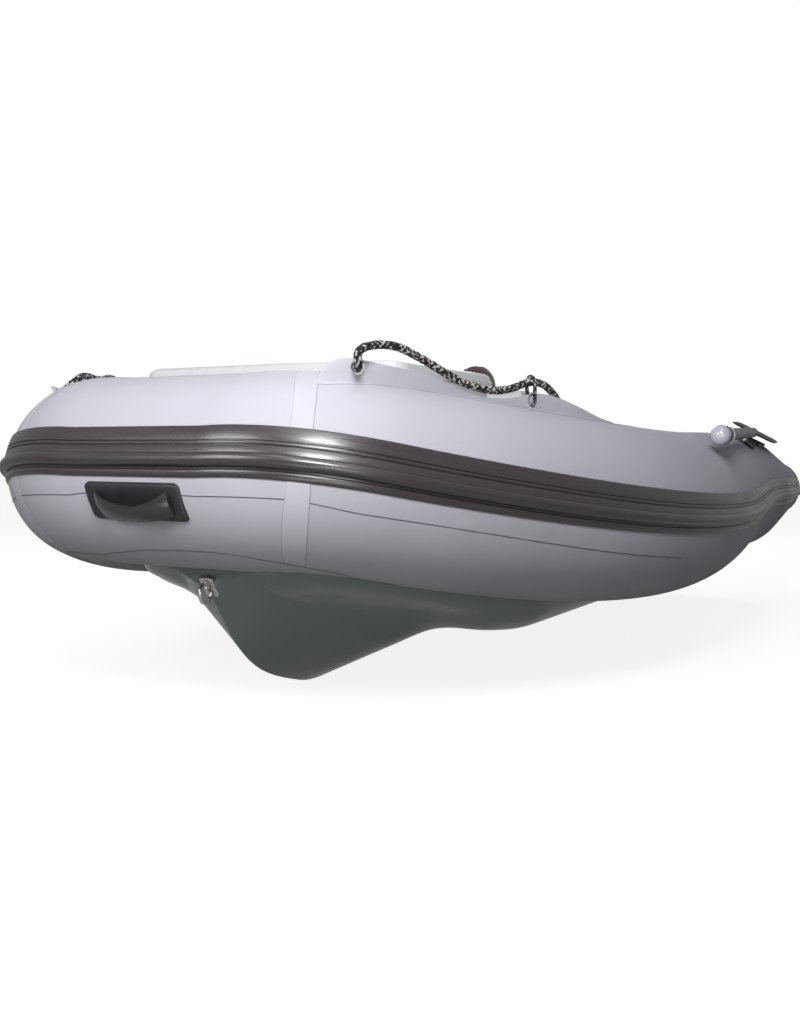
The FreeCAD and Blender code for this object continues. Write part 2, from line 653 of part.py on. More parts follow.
def oar_parts(parts, side):
    """Stowed oars with collars and pins, their rowlock bases and the chocks below the blades."""
    start = tube_point(nearest_u(OAR_GRIP_X), OAR_GRIP_ANGLE, OAR_GRIP_HEIGHT)
    lock_u = nearest_u(OAR_LOCK_X)
    skin = tube_point(lock_u, OAR_LOCK_ANGLE)
    at_lock = tube_point(lock_u, OAR_LOCK_ANGLE, OAR_LOCK_HEIGHT)
    normal = (at_lock - skin).normalize()
    along = (at_lock - start).normalize()

    shaft_length = OAR_LENGTH - OAR_BLADE_LENGTH + 40.0
    oar = Part.makeCylinder(OAR_GRIP_RADIUS, OAR_GRIP_LENGTH, start, along)
    oar = oar.fuse(Part.makeCylinder(OAR_SHAFT_RADIUS, shaft_length - 20, start + along * 20, along))
    blade = Part.makeBox(OAR_BLADE_LENGTH, OAR_BLADE_WIDTH, OAR_BLADE_THICKNESS,
                         vec(0, -OAR_BLADE_WIDTH / 2, -OAR_BLADE_THICKNESS / 2))
    blade = blade.makeFillet(55, [e for e in blade.Edges if abs(e.Vertexes[0].Z - e.Vertexes[-1].Z) > 1.0])
    roll = math.radians(OAR_BLADE_ROLL)
    blade_normal = vec(0, math.sin(roll), math.cos(roll))
    blade.Placement = local_placement(start + along * (OAR_LENGTH - OAR_BLADE_LENGTH), along, blade_normal)
    oar = oar.fuse(blade)
    collar_start = at_lock - along * (LOCK_COLLAR_LENGTH / 2)
    oar = oar.fuse(Part.makeCylinder(LOCK_COLLAR_RADIUS, LOCK_COLLAR_LENGTH, collar_start, along))
    pin_foot = skin + normal * LOCK_PIN_PROUD
    oar = oar.fuse(Part.makeCylinder(LOCK_PIN_RADIUS, (at_lock - pin_foot).Length, pin_foot, normal))
    parts["port_oar"] = oar
    parts["starboard_oar"] = mirrored(oar)
    print("oar pivot", at_lock, "axis", normal)

    base = Part.makeCylinder(LOCK_BASE_RADIUS, 20 + LOCK_BASE_PROUD, skin - normal * 20, normal)
    base = base.cut(side)
    base = base.cut(Part.makeCylinder(LOCK_PIN_RADIUS + 1, 60, skin - normal * 30, normal))
    parts["port_rowlock"] = biggest(base)
    parts["starboard_rowlock"] = mirrored(parts["port_rowlock"])

    length, width, depth = CHOCK_SIZE
    chock_u = nearest_u(CHOCK_X)
    chock_skin = tube_point(chock_u, CHOCK_ANGLE)
    chock_normal = (tube_point(chock_u, CHOCK_ANGLE, 10.0) - chock_skin).normalize()
    chock = Part.makeBox(length, width, depth, vec(-length / 2, -width / 2, CHOCK_PROUD - depth))
    chock = chock.makeFillet(12, [e for e in chock.Edges if abs(e.Vertexes[0].Z - e.Vertexes[-1].Z) > 1.0])
    chock.Placement = local_placement(chock_skin, tube_frame(chock_u)[1], chock_normal)
    parts["port_oar_chock"] = biggest(chock.cut(side))
    parts["starboard_oar_chock"] = mirrored(parts["port_oar_chock"])


# Lifeline strip: distance, the foot's angle from the tube's top and the height above the foot
STRIP_SHAPE = [
    (-30, 29.0, 5), (-22, 28.8, 22), (-9, 28.0, 44), (12, 27.3, 48), (38, 25.0, 41), (86, 22.5, 37),
    (150, 19.0, 36.5), (208, 15.0, 23), (257, 12.0, 10), (317, 10.5, 7), (375, 9.5, 13), (427, 9.2, 28),
    (470, 9.3, 38), (506, 10.0, 39), (548, 11.0, 35), (610, 12.5, 24), (681, 14.0, 9), (733, 15.0, 4),
]
STRIP_SPANS = 50


def strip_frame(distance, shift, lean):
    """Both feet of the strip on the tube, its upward direction and the direction square to its face."""
    u = u_at(STRIP_ZERO + shift + distance)
    angle = smooth_row(STRIP_SHAPE, distance)[1]
    turn = math.degrees(STRIP_THICKNESS / tube_radius(u))
    outer = tube_point(u, angle, STRIP_SEAT)
    inner = tube_point(u, angle - turn, STRIP_SEAT)
    outward = tube_frame(u)[2]
    tilt = math.radians(lean)
    rise = vec(0, 0, math.cos(tilt)) + outward * math.sin(tilt)
    square = outward * math.cos(tilt) - vec(0, 0, math.sin(tilt))
    return outer, inner, rise, square


def line_strip(shift, lean):
    """Scalloped strip standing on the port tube, its eyelets and the frame of the front one."""
    sections = []
    for distance in spans(STRIP_SHAPE[0][0], STRIP_SHAPE[-1][0], STRIP_SPANS):
        outer, inner, rise, square = strip_frame(distance, shift, lean)
        height = smooth_row(STRIP_SHAPE, distance)[2]
        corners = [outer, outer + rise * height, inner + rise * height, inner]
        sections.append(Part.makePolygon(corners + [outer]))
    strip = Part.makeLoft(sections, True, False)
    length = STRIP_THICKNESS + 2 * EYELET_FLANGE
    bodies = []
    centres = []
    for distance, height in EYELET_PLACES:
        outer, inner, rise, square = strip_frame(distance, shift, lean)
        centre = (outer + inner) * 0.5 + rise * height
        strip = strip.cut(Part.makeCylinder(EYELET_INNER + EYELET_WALL, 40, centre - square * 20, square))
        start = centre - square * (length / 2)
        body = Part.makeCylinder(EYELET_OUTER, length, start, square)
        bodies.append(body.cut(Part.makeCylinder(EYELET_INNER, length, start, square)))
        centres.append((centre, square))
    return strip, Part.Compound([body.cut(strip) for body in bodies]), centres[0]


# Ropes past their eyelets: distance, height above the strip's foot and offset outwards
PORT_ROPE = [
    (17, 24, 39), (14, 63.5, 42), (66, 81, 8), (132, 62, 3), (248, 24, 0), (358, 22, 0), (472, 72, -4),
    (575, 38, -34), (615, 26, -76),
]
STARBOARD_ROPE = [(170, 66, 0), (240, 60, 0), (335, 88, 0), (420, 44, -25), (470, 28, -76)]
PORT_BOSS = 650.0
STARBOARD_BOSS = 505.0
STARBOARD_EXIT = 42.0


def rope_point(distance, height, offset):
    """Point beside the upright port strip."""
    u = u_at(STRIP_ZERO + distance)
    angle = smooth_row(STRIP_SHAPE, distance)[1]
    return tube_point(u, angle) + vec(0, 0, height) + tube_frame(u)[2] * offset


def rope_end(distance):
    """Last two points of a rope, running down into a boss, with the boss's foot and normal."""
    u = u_at(STRIP_ZERO + distance)
    foot = tube_point(u, BOSS_ANGLE)
    normal = (tube_point(u, BOSS_ANGLE, 10.0) - foot).normalize()
    travel = normal.cross(tube_frame(u)[1]).normalize()
    if travel.z > 0:
        travel = -travel
    near = foot + normal * ROPE_END_PROUD
    return [near - travel * ROPE_END_RUN, near - travel * ROPE_END_INSIDE], foot, normal


def lifeline_parts(parts, side):
    """Strips with eyelets on top of the tubes, the rope of each and the boss it ends in."""
    strip, eyelets, first = line_strip(0.0, 0.0)
    parts["port_lifeline_strip"] = strip
    parts["port_eyelets"] = eyelets
    route = [first[0]] + [rope_point(*row) for row in PORT_ROPE]
    rope, boss = rope_parts(route, PORT_BOSS, side)
    parts["port_lifeline"] = rope
    parts["port_rope_boss"] = boss

    strip, eyelets, first = line_strip(STARBOARD_SHIFT, STARBOARD_LEAN)
    parts["starboard_lifeline_strip"] = mirrored(strip)
    parts["starboard_eyelets"] = mirrored(eyelets)
    centre, square = first
    route = [centre, centre - square * STARBOARD_EXIT] + [rope_point(*row) for row in STARBOARD_ROPE]
    rope, boss = rope_parts(route, STARBOARD_BOSS, side)
    parts["starboard_lifeline"] = mirrored(rope)
    parts["starboard_rope_boss"] = mirrored(boss)


def rope_parts(route, boss_place, side):
    last, foot, normal = rope_end(boss_place)
    route = route + last
    for point in route:
        print("rope point", round(point.x, 1), round(point.y, 1), round(point.z, 1))
    rope = cord_tube(route, ROPE_DIAMETER / 2)
    boss = Part.makeCylinder(BOSS_RADIUS, BOSS_HEIGHT + 10, foot - normal * 10, normal)
    boss = boss.makeFillet(6, [boss.Edges[0]])
    into = (route[-1] - route[-2]).normalize()
    hole = Part.makeCylinder(ROPE_DIAMETER / 2 + 0.3, ROPE_END_RUN, route[-2], into)
    boss = boss.cut(hole).cut(side)
    return rope, biggest(boss)


def cord_tube(points, radius):
    """Round tube along straight runs joined by tangent arcs."""
    edges = []
    position = points[0]
    radii = []
    for before, corner, after in zip(points, points[1:], points[2:]):
        into = (corner - before).normalize()
        out = (after - corner).normalize()
        turn = into.getAngle(out)
        reach = 0.45 * min((corner - before).Length, (after - corner).Length)
        arc_radius = reach / math.tan(turn / 2)
        radii.append(round(arc_radius))
        entry = corner - into * reach
        leave = corner + out * reach
        bisector = (out - into).normalize()
        middle = corner + bisector * (arc_radius / math.cos(turn / 2) - arc_radius)
        edges.append(Part.LineSegment(position, entry).toShape())
        edges.append(Part.Arc(entry, middle, leave).toShape())
        position = leave
    edges.append(Part.LineSegment(position, points[-1]).toShape())
    path = Part.Wire(edges)
    direction = (points[1] - points[0]).normalize()
    section = Part.Wire([Part.makeCircle(radius, points[0], direction)])
    tube = path.makePipeShell([section], True, False)
    share = tube.Volume / (math.pi * radius ** 2 * path.Length)
    print("cord length", round(path.Length), "radii", radii, "volume share", round(share, 3))
    return tube


def small_fittings(parts, side):
    """Inflation valves, towing eyes on the transom and the drain plug."""
    valves = []
    for x in VALVE_PLACES:
        u = nearest_u(x)
        skin = tube_point(u, VALVE_ANGLE)
        normal = (tube_point(u, VALVE_ANGLE, 10.0) - skin).normalize()
        disc = Part.makeCylinder(VALVE_RADIUS, VALVE_DEPTH + 12, skin - normal * 12, normal)
        disc = disc.fuse(Part.makeCylinder(VALVE_RADIUS * 0.62, VALVE_DEPTH + 18, skin - normal * 12, normal))
        valves.append(biggest(disc.cut(side)))
    port = Part.Compound(valves)
    parts["port_valves"] = port
    parts["starboard_valves"] = mirrored(port)
    eyes = []
    for y in (-TOWING_EYE_Y, TOWING_EYE_Y):
        base = box(TRANSOM_X - 6, TRANSOM_X - 0.2, y - 16, y + 16, TOWING_EYE_Z - 30, TOWING_EYE_Z + 30)
        hoop = Part.makeTorus(EYE_RADIUS, EYE_WIRE, vec(TRANSOM_X - 6, y, TOWING_EYE_Z), vec(0, 1, 0))
        behind = box(TRANSOM_X - 60, TRANSOM_X - 5, y - 20, y + 20, TOWING_EYE_Z - 50, TOWING_EYE_Z + 50)
        hoop = hoop.common(behind)
        eyes.append(base.fuse(hoop))
    parts["towing_eyes"] = Part.Compound(eyes)
    plug = Part.makeCylinder(DRAIN_RADIUS, 14, vec(TRANSOM_X - 14.2, DRAIN_Y, DRAIN_Z), vec(1, 0, 0))
    knob = Part.makeCylinder(DRAIN_RADIUS / 2, 24, vec(TRANSOM_X - 24, DRAIN_Y, DRAIN_Z), vec(1, 0, 0))
    parts["drain_plug"] = plug.fuse(knob)


main()
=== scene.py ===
import math

import bpy
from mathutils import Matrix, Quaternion, Vector


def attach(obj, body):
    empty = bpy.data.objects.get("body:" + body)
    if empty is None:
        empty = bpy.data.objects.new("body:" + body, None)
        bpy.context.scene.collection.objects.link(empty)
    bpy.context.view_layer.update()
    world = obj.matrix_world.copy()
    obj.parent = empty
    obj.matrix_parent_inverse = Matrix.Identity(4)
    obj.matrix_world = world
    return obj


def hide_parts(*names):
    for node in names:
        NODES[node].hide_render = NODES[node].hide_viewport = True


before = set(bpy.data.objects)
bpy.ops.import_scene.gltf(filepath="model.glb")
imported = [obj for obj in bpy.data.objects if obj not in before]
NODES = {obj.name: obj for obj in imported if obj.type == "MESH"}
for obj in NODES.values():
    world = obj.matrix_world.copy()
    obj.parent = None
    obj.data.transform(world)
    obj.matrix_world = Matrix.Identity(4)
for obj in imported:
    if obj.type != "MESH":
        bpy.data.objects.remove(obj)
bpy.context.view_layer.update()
BOAT = "boat"
UP = Vector((0, 0, 1))

# The photograph's camera, in metres, degrees and millimetres of lens
CAMERA_PLACE = Vector((3.292, 1.468, 0.396))
CAMERA_HEADING = 208.98
CAMERA_PITCH = -2.75
CAMERA_ROLL = 0.29
CAMERA_LENS = 48.69
SENSOR_WIDTH = 36.0

# Buoyancy tube, the same line and radii as the CAD part
BOW_X = 1.525
BOW_Z = 0.360
BOW_RADIUS = 0.200
SHOULDER = Vector((BOW_X, 0.283, 0.370))
SHOULDER_ROUND = 0.120
SIDE_FLARE = Vector((-0.8105, 0.6801, -0.198))
STERN = Vector((-1.019, 0.551, 0.264))
STERN_PULL = Vector((0.818, -0.056, 0.014))
STERN_RADIUS = 0.214
SIDE_FULLNESS = 0.0127
CONE_STEP = Vector((-0.685, 0.0325, -0.004))
CONE_END_RADIUS = 0.1155
CORNER_T = 0.04

# u is a place along the tube: 0 to 1 the bow, 1 to 2 the corner, 2 to 3 the side, 3 to 4 the cone
U_END = 4.0
U_STEP = 0.002
U_AS_DEGREES = 60.0

# Rub strake: how far its middle lies above the tube's widest line, in degrees
STRAKE_LIFT_ANGLE = 1.4
STRAKE_BOW_LIFT_ANGLE = 10.8
# Its section: millimetres down from its middle and height above the skin
STRAKE_SECTION = [
    (-50, 0.3), (-49.6, 2.6), (-48.2, 4.2), (-46, 4.8), (-30, 5.6), (-21, 6.2), (-20.2, 6.0),
    (-19.6, 3.6), (-18.4, 3.6), (-17.8, 6.0), (-17, 6.4), (-13, 6.6), (-12.4, 6.2), (-11.8, 3.8),
    (-10.6, 3.8), (-10, 6.4), (-9.2, 7.0), (2, 8.0), (3.4, 8.2), (4, 9.4), (5.4, 12.2), (8, 15.0),
    (12, 16.8), (16, 17.2), (21, 16.6), (25.5, 14.2), (28.4, 10.0), (29.6, 5.0), (30.4, 1.6),
    (33.6, 1.6), (34.6, 3.6), (36.4, 4.8), (44, 4.6), (48, 3.6), (49.4, 2.2), (50, 0.3),
]
# The section's point along which the strake's length is measured
STRAKE_MIDDLE = 18

# Control points of the two lifelines, in millimetres, as in the CAD part
PORT_ROPE = [
    (1522.5, 393.6, 562.2), (1556.2, 417.5, 557.8), (1562.6, 416.0, 597.4),
    (1469.3, 438.8, 611.6), (1398.1, 466.6, 587.1), (1282.3, 502.7, 541.3),
    (1180.6, 543.5, 528.4), (1074.8, 581.6, 567.2), (972.6, 593.2, 523.0),
    (924.9, 566.8, 507.3), (875.8, 512.9, 489.5), (867.8, 468.1, 448.9),
]
STARBOARD_ROPE = [
    (1429.6, -487.1, 539.7), (1411.5, -460.6, 566.7), (1359.5, -478.4, 588.6),
    (1290.1, -500.1, 577.9), (1201.8, -535.2, 596.6), (1114.0, -543.3, 544.2),
    (1050.5, -513.8, 523.4), (1001.7, -477.8, 501.2), (990.4, -433.7, 460.6),
]
ROPE_DIAMETER = 0.018
# Lashing at the second port eyelet: its radius, its reach past the rope and past the eyelet, its
# half width at the eyelet and how much wider it is round the rope
TIE_RADIUS = 0.0046
TIE_REACH = 0.0125
TIE_HALF_WIDTH = 0.0085
TIE_SWELL = 0.004
SECOND_EYELET_BEHIND = 1.25
ROPE_OUTSIDE_BEFORE = 1.0
# Braid: crossings for each metre and round the rope, and the mesh that shows them
BRAID_PER_METRE = 66.0
BRAID_AROUND = 4.0
BRAID_STEP = 0.0022
BRAID_SIDES = 32

# Lifeline strip: millimetres from its front eyelet, angle of its foot from the tube's top, height
STRIP_SHAPE = [
    (-30, 29.0, 4), (-26, 28.9, 17), (-20, 28.7, 31), (-12, 28.2, 42), (0, 27.7, 46.6),
    (12, 27.3, 47.5), (24, 26.2, 45), (38, 25.0, 41), (86, 22.5, 37), (150, 19.0, 36.5),
    (208, 15.0, 23), (257, 12.0, 10), (317, 10.5, 7), (375, 9.5, 13), (427, 9.2, 28),
    (470, 9.3, 38), (506, 10.0, 39), (548, 11.0, 35), (610, 12.5, 24), (681, 14.0, 9),
    (733, 15.0, 4),
]
STRIP_ZERO = 0.3137
STARBOARD_STRIP_SHIFT = 0.100
STARBOARD_STRIP_LEAN = 40.0
# Half of the strip's section: distance from its middle plane, and depth under its top edge
STRIP_HALF = 0.0020
STRIP_FOOT = (0.0022, -0.0012)
STRIP_EDGE = ((STRIP_HALF, 0.0022), (0.0014, 0.0008))

# Seams and tapes on the tube, as (u, angle) places of the port side
CORNER_SEAM_FORE = [
    (1.385, 4.0), (1.397, 8.5), (1.454, 47.8), (1.458, 66.9), (1.458, 98.4), (1.412, 133.2),
    (1.40, 150.0),
]
CORNER_SEAM_AFT = [
    (1.535, 4.0), (1.537, 13.5), (1.554, 47.2), (1.556, 66.4), (1.568, 103.2), (1.554, 152.7),
    (1.55, 155.0),
]
LOWER_BAND = [
    (-2.284, 117.7), (-2.07, 111.2), (-1.794, 109.4), (-1.467, 106.1), (-0.718, 101.8),
    (0.917, 101.8), (1.491, 103.6), (1.794, 109.4), (1.999, 110.8), (2.07, 111.2),
    (2.167, 115.1), (2.284, 117.7),
]
HULL_BAND = [
    (-2.03, 172.8), (-1.825, 160.7), (-1.553, 154.2), (-1.15, 152.0), (-0.7, 146.0),
    (-0.175, 141.1), (0.437, 139.3), (0.998, 139.1), (1.236, 145.9), (1.553, 154.2),
    (1.825, 160.7), (2.03, 172.8),
]
FOOT_TAPE_UPPER = [
    (1.415, 27.0), (1.56, 26.0), (1.66, 24.0), (1.80, 21.0), (2.0, 13.0), (2.052, 11.0),
    (2.235, 8.5), (2.30, 10.0),
]
FOOT_TAPE_LOWER = [
    (1.43, 31.5), (1.56, 33.4), (1.66, 31.0), (1.80, 28.0), (2.0, 22.0), (2.052, 17.5),
    (2.235, 13.5), (2.30, 12.5),
]
BAND_SEAM_WIDTH = 0.0020
TAPE_SEAM_WIDTH = 0.0016
SEAM_EDGE = 0.0002
SEAM_HEIGHT = 0.0010
TAPE_SUNK = -0.0002

# Carry handle on the middle of the bow: angles of its edges on the tube, half width, how far its
# middle lies to port, and how far its lower edge lies to port of its upper one
HANDLE_TOP = 95.0
HANDLE_BOTTOM = 117.0
HANDLE_HALF = 0.1195
HANDLE_SHIFT = 0.013
HANDLE_LEAN = 0.013
# Its patch: height of the edge and of the rim, depth of the hollow, and round of the corners
PATCH_EDGE = 0.0003
PATCH_RIM = 0.0065
PATCH_HOLLOW = 0.0028
PATCH_CORNER = 0.10
# Its strap: share of the half width that it spans, rise, half thickness and lowest height
STRAP_REACH = 0.78
STRAP_RISE = 0.031
STRAP_HALF_THICK = 0.003
STRAP_LOWEST = 0.003

# Locker lid. Its profile: inset from its outline, height, and share of the top's camber
LID_MIDDLE = Vector((1.0425, 0.0, 0.0))
LID_HALF_LENGTH = 0.2525
LID_HALF_WIDTH = 0.363
LID_CORNER = 0.050
LID_CAMBER_RADIUS = 2.78
LID_PROFILE = [
    (0.050, 0.5745, 0), (0.007, 0.5745, 0), (0.005, 0.5765, 0), (0.005, 0.5865, 0.8),
    (0.0045, 0.5885, 1), (0.001, 0.5895, 1), (0.0, 0.5905, 1), (0.0, 0.6020, 1),
    (0.0008, 0.6034, 1), (0.0030, 0.6040, 1), (0.0036, 0.6050, 1), (0.0042, 0.6085, 1),
    (0.0062, 0.6125, 1), (0.0095, 0.6160, 1), (0.0140, 0.6184, 1), (0.0200, 0.6196, 1),
    (0.0320, 0.6199, 1),
] + [(0.055 + 0.024 * k, 0.6200, 1) for k in range(8)]

# Bow eye, on the slope of the forefoot. Its plate's profile: inset and height over the hull
EYE_PLACE = Vector((1.477, 0.0, 0.116))
EYE_SLOPE = 34.8
EYE_HALF_WIDTH = 0.017
EYE_HALF_LENGTH = 0.026
EYE_CORNER = 0.008
EYE_PROFILE = [(0.0, -0.002), (0.0, 0.0045), (0.0010, 0.0058), (0.0022, 0.0062), (0.0075, 0.0062)]
EYE_SCREW = [(0.0, 0.0035), (0.0018, 0.0034), (0.0030, 0.0026), (0.0034, 0.0012)]
EYE_SCREW_OFFSET = 0.019
EYE_FACE = 0.005
EYE_LUG_REACH = 0.009
EYE_LUG_WIRE = 0.0035
EYE_RING_CENTRE = 0.018
EYE_RING_DROP = 0.004
EYE_RING_HALF_WIDTH = 0.0185
EYE_RING_HALF_HEIGHT = 0.021
EYE_RING_WIRE = 0.0042

# Compass on the console
COMPASS_FOOT = Vector((0.108, -0.020, 0.6005))
COMPASS_RING = [
    (0.0, 0.060), (0.0005, 0.0675), (0.002, 0.0685), (0.012, 0.0685), (0.0150, 0.0675),
    (0.0160, 0.0655), (0.0162, 0.0640),
]
DOME_RADIUS = 0.0655
DOME_HEIGHT = 0.0705

# Helm cushion. Its profile: inset from its outline and height
CUSHION_MIDDLE = Vector((-0.420, 0.0, 0.0))
CUSHION_HALF_LENGTH = 0.162
CUSHION_HALF_WIDTH = 0.182
CUSHION_SQUARENESS = 0.22
CUSHION_PROFILE = [
    (0.080, 0.3305), (0.030, 0.3305), (0.010, 0.331), (0.003, 0.335), (-0.0015, 0.338),
    (0.003, 0.341), (0.0, 0.350), (-0.001, 0.360), (0.0, 0.370), (0.003, 0.378),
    (-0.0015, 0.381), (0.003, 0.384), (0.009, 0.388), (0.022, 0.3925), (0.045, 0.396),
    (0.080, 0.3985), (0.120, 0.3995), (0.155, 0.400),
]

# Oars: (u, angle, height over the skin) of the grip's end and of the rowlock
OAR_END = (2.418317, 39.57, 0.0469)
OAR_LOCK = (2.838735, 31.88, 0.0387)
# Turned parts: distance from the grip's end along the oar, and radius
OAR_CAP = [
    (0.0, 0.006), (0.0004, 0.012), (0.0016, 0.018), (0.004, 0.0225), (0.008, 0.0255),
    (0.012, 0.0265), (0.016, 0.0268), (0.018, 0.0262), (0.0182, 0.020),
]
OAR_BUTTON = [(0.0, 0.002), (0.0002, 0.009), (0.0012, 0.011), (0.0030, 0.0115), (0.0040, 0.0100)]
OAR_SHAFT = [(0.128, 0.0170), (0.129, 0.018), (1.254, 0.018), (1.256, 0.017)]
OAR_PIN = [(0.0, 0.003), (0.0005, 0.0052), (0.0015, 0.006), (0.030, 0.006)]
OAR_RINGS = [(0.112, 0.0278), (0.150, 0.0205), (0.196, 0.0205)]
GRIP_RIBS = 11
GRIP_RIB_STEP = 0.0088
# Blade: its start along the oar, length, width, round of its ends and roll in degrees
BLADE_BASE = 1.230
BLADE_LENGTH = 0.340
BLADE_WIDTH = 0.170
BLADE_ROUND = 0.055
BLADE_ROLL = 28.0

FLOOR_Z = -0.160
FLOOR_REACH = 40.0
FLOOR_PLAIN = (0.15, 0.16, 0.145, 1.0)
FLOOR_SHADE = (0.35, 0.35, 0.36, 1.0)
FLOOR_GLOW = 0.86
WHITE = (1.0, 1.0, 1.0, 1.0)
# How much of the white background shows in gloss
GLOSSY_SHARE = 0.25
AMBIENT = (0.80, 0.82, 0.90, 1.0)
AMBIENT_STRENGTH = 0.20
# Name, place, aim, size in metres and power in watts
LAMPS = [
    ("key", (3.05, 1.35, 1.75), (1.2, 0.3, 0.35), 0.6, 44.0),
    ("bow_low", (3.4, 1.9, 0.25), (1.2, 0.1, 0.0), 0.8, 9.0),
    ("bow_hull", (2.7, 0.75, -0.05), (1.35, 0.05, 0.02), 0.35, 1.6),
    ("stern", (-3.2, -2.0, 2.8), (-0.4, -0.2, 0.3), 2.0, 48.0),
    ("overhead", (1.9, 0.6, 2.7), (1.2, 0.1, 0.3), 1.6, 18.0),
    ("bow_side", (3.6, -0.6, 1.4), (1.6, 0.1, 0.3), 1.2, 28.0),
]


def camera():
    heading = math.radians(CAMERA_HEADING)
    pitch = math.radians(CAMERA_PITCH)
    level = math.cos(pitch)
    forward = Vector((math.cos(heading) * level, math.sin(heading) * level, math.sin(pitch)))
    roll = Quaternion((0, 0, 1), math.radians(CAMERA_ROLL))
    data = bpy.data.cameras.new("camera")
    data.sensor_fit = "HORIZONTAL"
    data.sensor_width = SENSOR_WIDTH
    data.lens = CAMERA_LENS
    data.clip_start = 0.05
    data.clip_end = 60.0
    cam = bpy.data.objects.new("camera", data)
    bpy.context.scene.collection.objects.link(cam)
    cam.rotation_mode = "QUATERNION"
    cam.rotation_quaternion = forward.to_track_quat("-Z", "Y") @ roll
    cam.location = CAMERA_PLACE
    bpy.context.scene.camera = cam


def srgb(red, green, blue):
    """A colour on the 0 to 255 scale, as linear light."""
    def linear(value):
        value = value / 255.0
        return value / 12.92 if value <= 0.04045 else ((value + 0.055) / 1.055) ** 2.4
    return (linear(red), linear(green), linear(blue), 1.0)


def put(tree, value, socket):
    """Give a socket a plain value or another node's output."""
    if hasattr(value, "node"):
        tree.links.new(value, socket)
    else:
        socket.default_value = value


def math_node(tree, how, first, second=0.0):
    node = tree.nodes.new("ShaderNodeMath")
    node.operation = how
    put(tree, first, node.inputs[0])
    put(tree, second, node.inputs[1])
    return node.outputs[0]


class Paint:
    """A material's node tree, with short calls for the nodes that every finish here uses."""

    def __init__(self, name):
        self.material = bpy.data.materials.new(name)
        self.material.use_nodes = True
        self.tree = self.material.node_tree
        self.shader = self.tree.nodes["Principled BSDF"]
        self.place = self.add("ShaderNodeTexCoord").outputs["Object"]

    def add(self, kind, **settings):
        node = self.tree.nodes.new(kind)
        for key, value in settings.items():
            setattr(node, key, value)
        return node

    def link(self, output, socket):
        self.tree.links.new(output, socket)

    def uv(self):
        return self.add("ShaderNodeUVMap", uv_map="UVMap").outputs["UV"]

    def noise(self, scale, detail=3.0, stretch=(1, 1, 1), place=None, rough=0.5):
        mapping = self.add("ShaderNodeMapping")
        mapping.inputs["Scale"].default_value = stretch
        self.link(place or self.place, mapping.inputs["Vector"])
        noise = self.add("ShaderNodeTexNoise")
        noise.inputs["Scale"].default_value = scale
        noise.inputs["Detail"].default_value = detail
        noise.inputs["Roughness"].default_value = rough
        self.link(mapping.outputs["Vector"], noise.inputs["Vector"])
        return noise.outputs["Fac"]

    def ramp(self, value, *stops):
        """Colour ramp. Each stop is a position with a grey number or a colour."""
        ramp = self.add("ShaderNodeValToRGB")
        elements = ramp.color_ramp.elements
        while len(elements) < len(stops):
            elements.new(0.5)
        for element, (position, colour) in zip(elements, stops):
            element.position = position
            if not isinstance(colour, tuple):
                colour = (colour, colour, colour, 1.0)
            element.color = colour
        self.link(value, ramp.inputs["Fac"])
        return ramp.outputs["Color"]

    def mix(self, share, first, second, how="MIX"):
        node = self.add("ShaderNodeMix", data_type="RGBA", blend_type=how)
        for value, socket in ((share, 0), (first, 6), (second, 7)):
            put(self.tree, value, node.inputs[socket])
        return node.outputs[2]

    def math(self, how, first, second=0.0):
        return math_node(self.tree, how, first, second)

    def bump(self, height, distance, strength=1.0, below=None):
        node = self.add("ShaderNodeBump")
        node.inputs["Distance"].default_value = distance
        node.inputs["Strength"].default_value = strength
        self.link(height, node.inputs["Height"])
        if below is not None:
            self.link(below, node.inputs["Normal"])
        self.link(node.outputs["Normal"], self.shader.inputs["Normal"])
        return node.outputs["Normal"]

    def set(self, **values):
        for key, value in values.items():
            put(self.tree, value, self.shader.inputs[key.replace("_", " ")])


def fabric(name, colour, shade=0.9):
    """Coated tube fabric: a fine weave under the coating, soft clouding and a few pale scuffs."""
    paint = Paint(name)
    cloud = paint.ramp(paint.noise(2.2, 4.0), (0.3, shade), (0.7, 1.0))
    base = paint.mix(1.0, colour, cloud, "MULTIPLY")
    scuff = paint.ramp(paint.noise(9.0, 8.0, (1, 1, 3), rough=0.7), (0.62, 0.0), (0.8, 0.22))
    paint.set(Base_Color=paint.mix(scuff, base, srgb(214, 213, 219)))
    paint.set(Roughness=paint.ramp(paint.noise(6.0, 5.0), (0.3, 0.46), (0.7, 0.6)))
    paint.set(Coat_Weight=0.0, Specular_IOR_Level=0.14)
    soft = paint.bump(paint.noise(5.0, 2.0), 0.006, 0.35)
    paint.bump(paint.noise(900.0, 2.0), 0.0003, 0.35, soft)
    return paint.material


def strake_rubber():
    """Extruded rubber: dark brown-black, satin, with streaks along its length and pale rubs."""
    paint = Paint("strake_rubber")
    along = paint.uv()
    streak = paint.ramp(paint.noise(4.0, 6.0, (2, 60, 1), along), (0.3, 0.75), (0.7, 1.1))
    base = paint.mix(1.0, srgb(52, 44, 45), streak, "MULTIPLY")
    rub = paint.ramp(paint.noise(7.0, 8.0, (1, 6, 1), along, 0.75), (0.66, 0.0), (0.85, 0.5))
    rough = paint.ramp(paint.noise(5.0, 6.0, (1, 20, 1), along), (0.3, 0.24), (0.7, 0.36))
    paint.set(Base_Color=paint.mix(rub, base, srgb(128, 118, 120)))
    paint.set(Roughness=rough, Specular_IOR_Level=0.9)
    paint.bump(paint.noise(6.0, 4.0, (1, 80, 1), along), 0.0008, 0.4)
    return paint.material


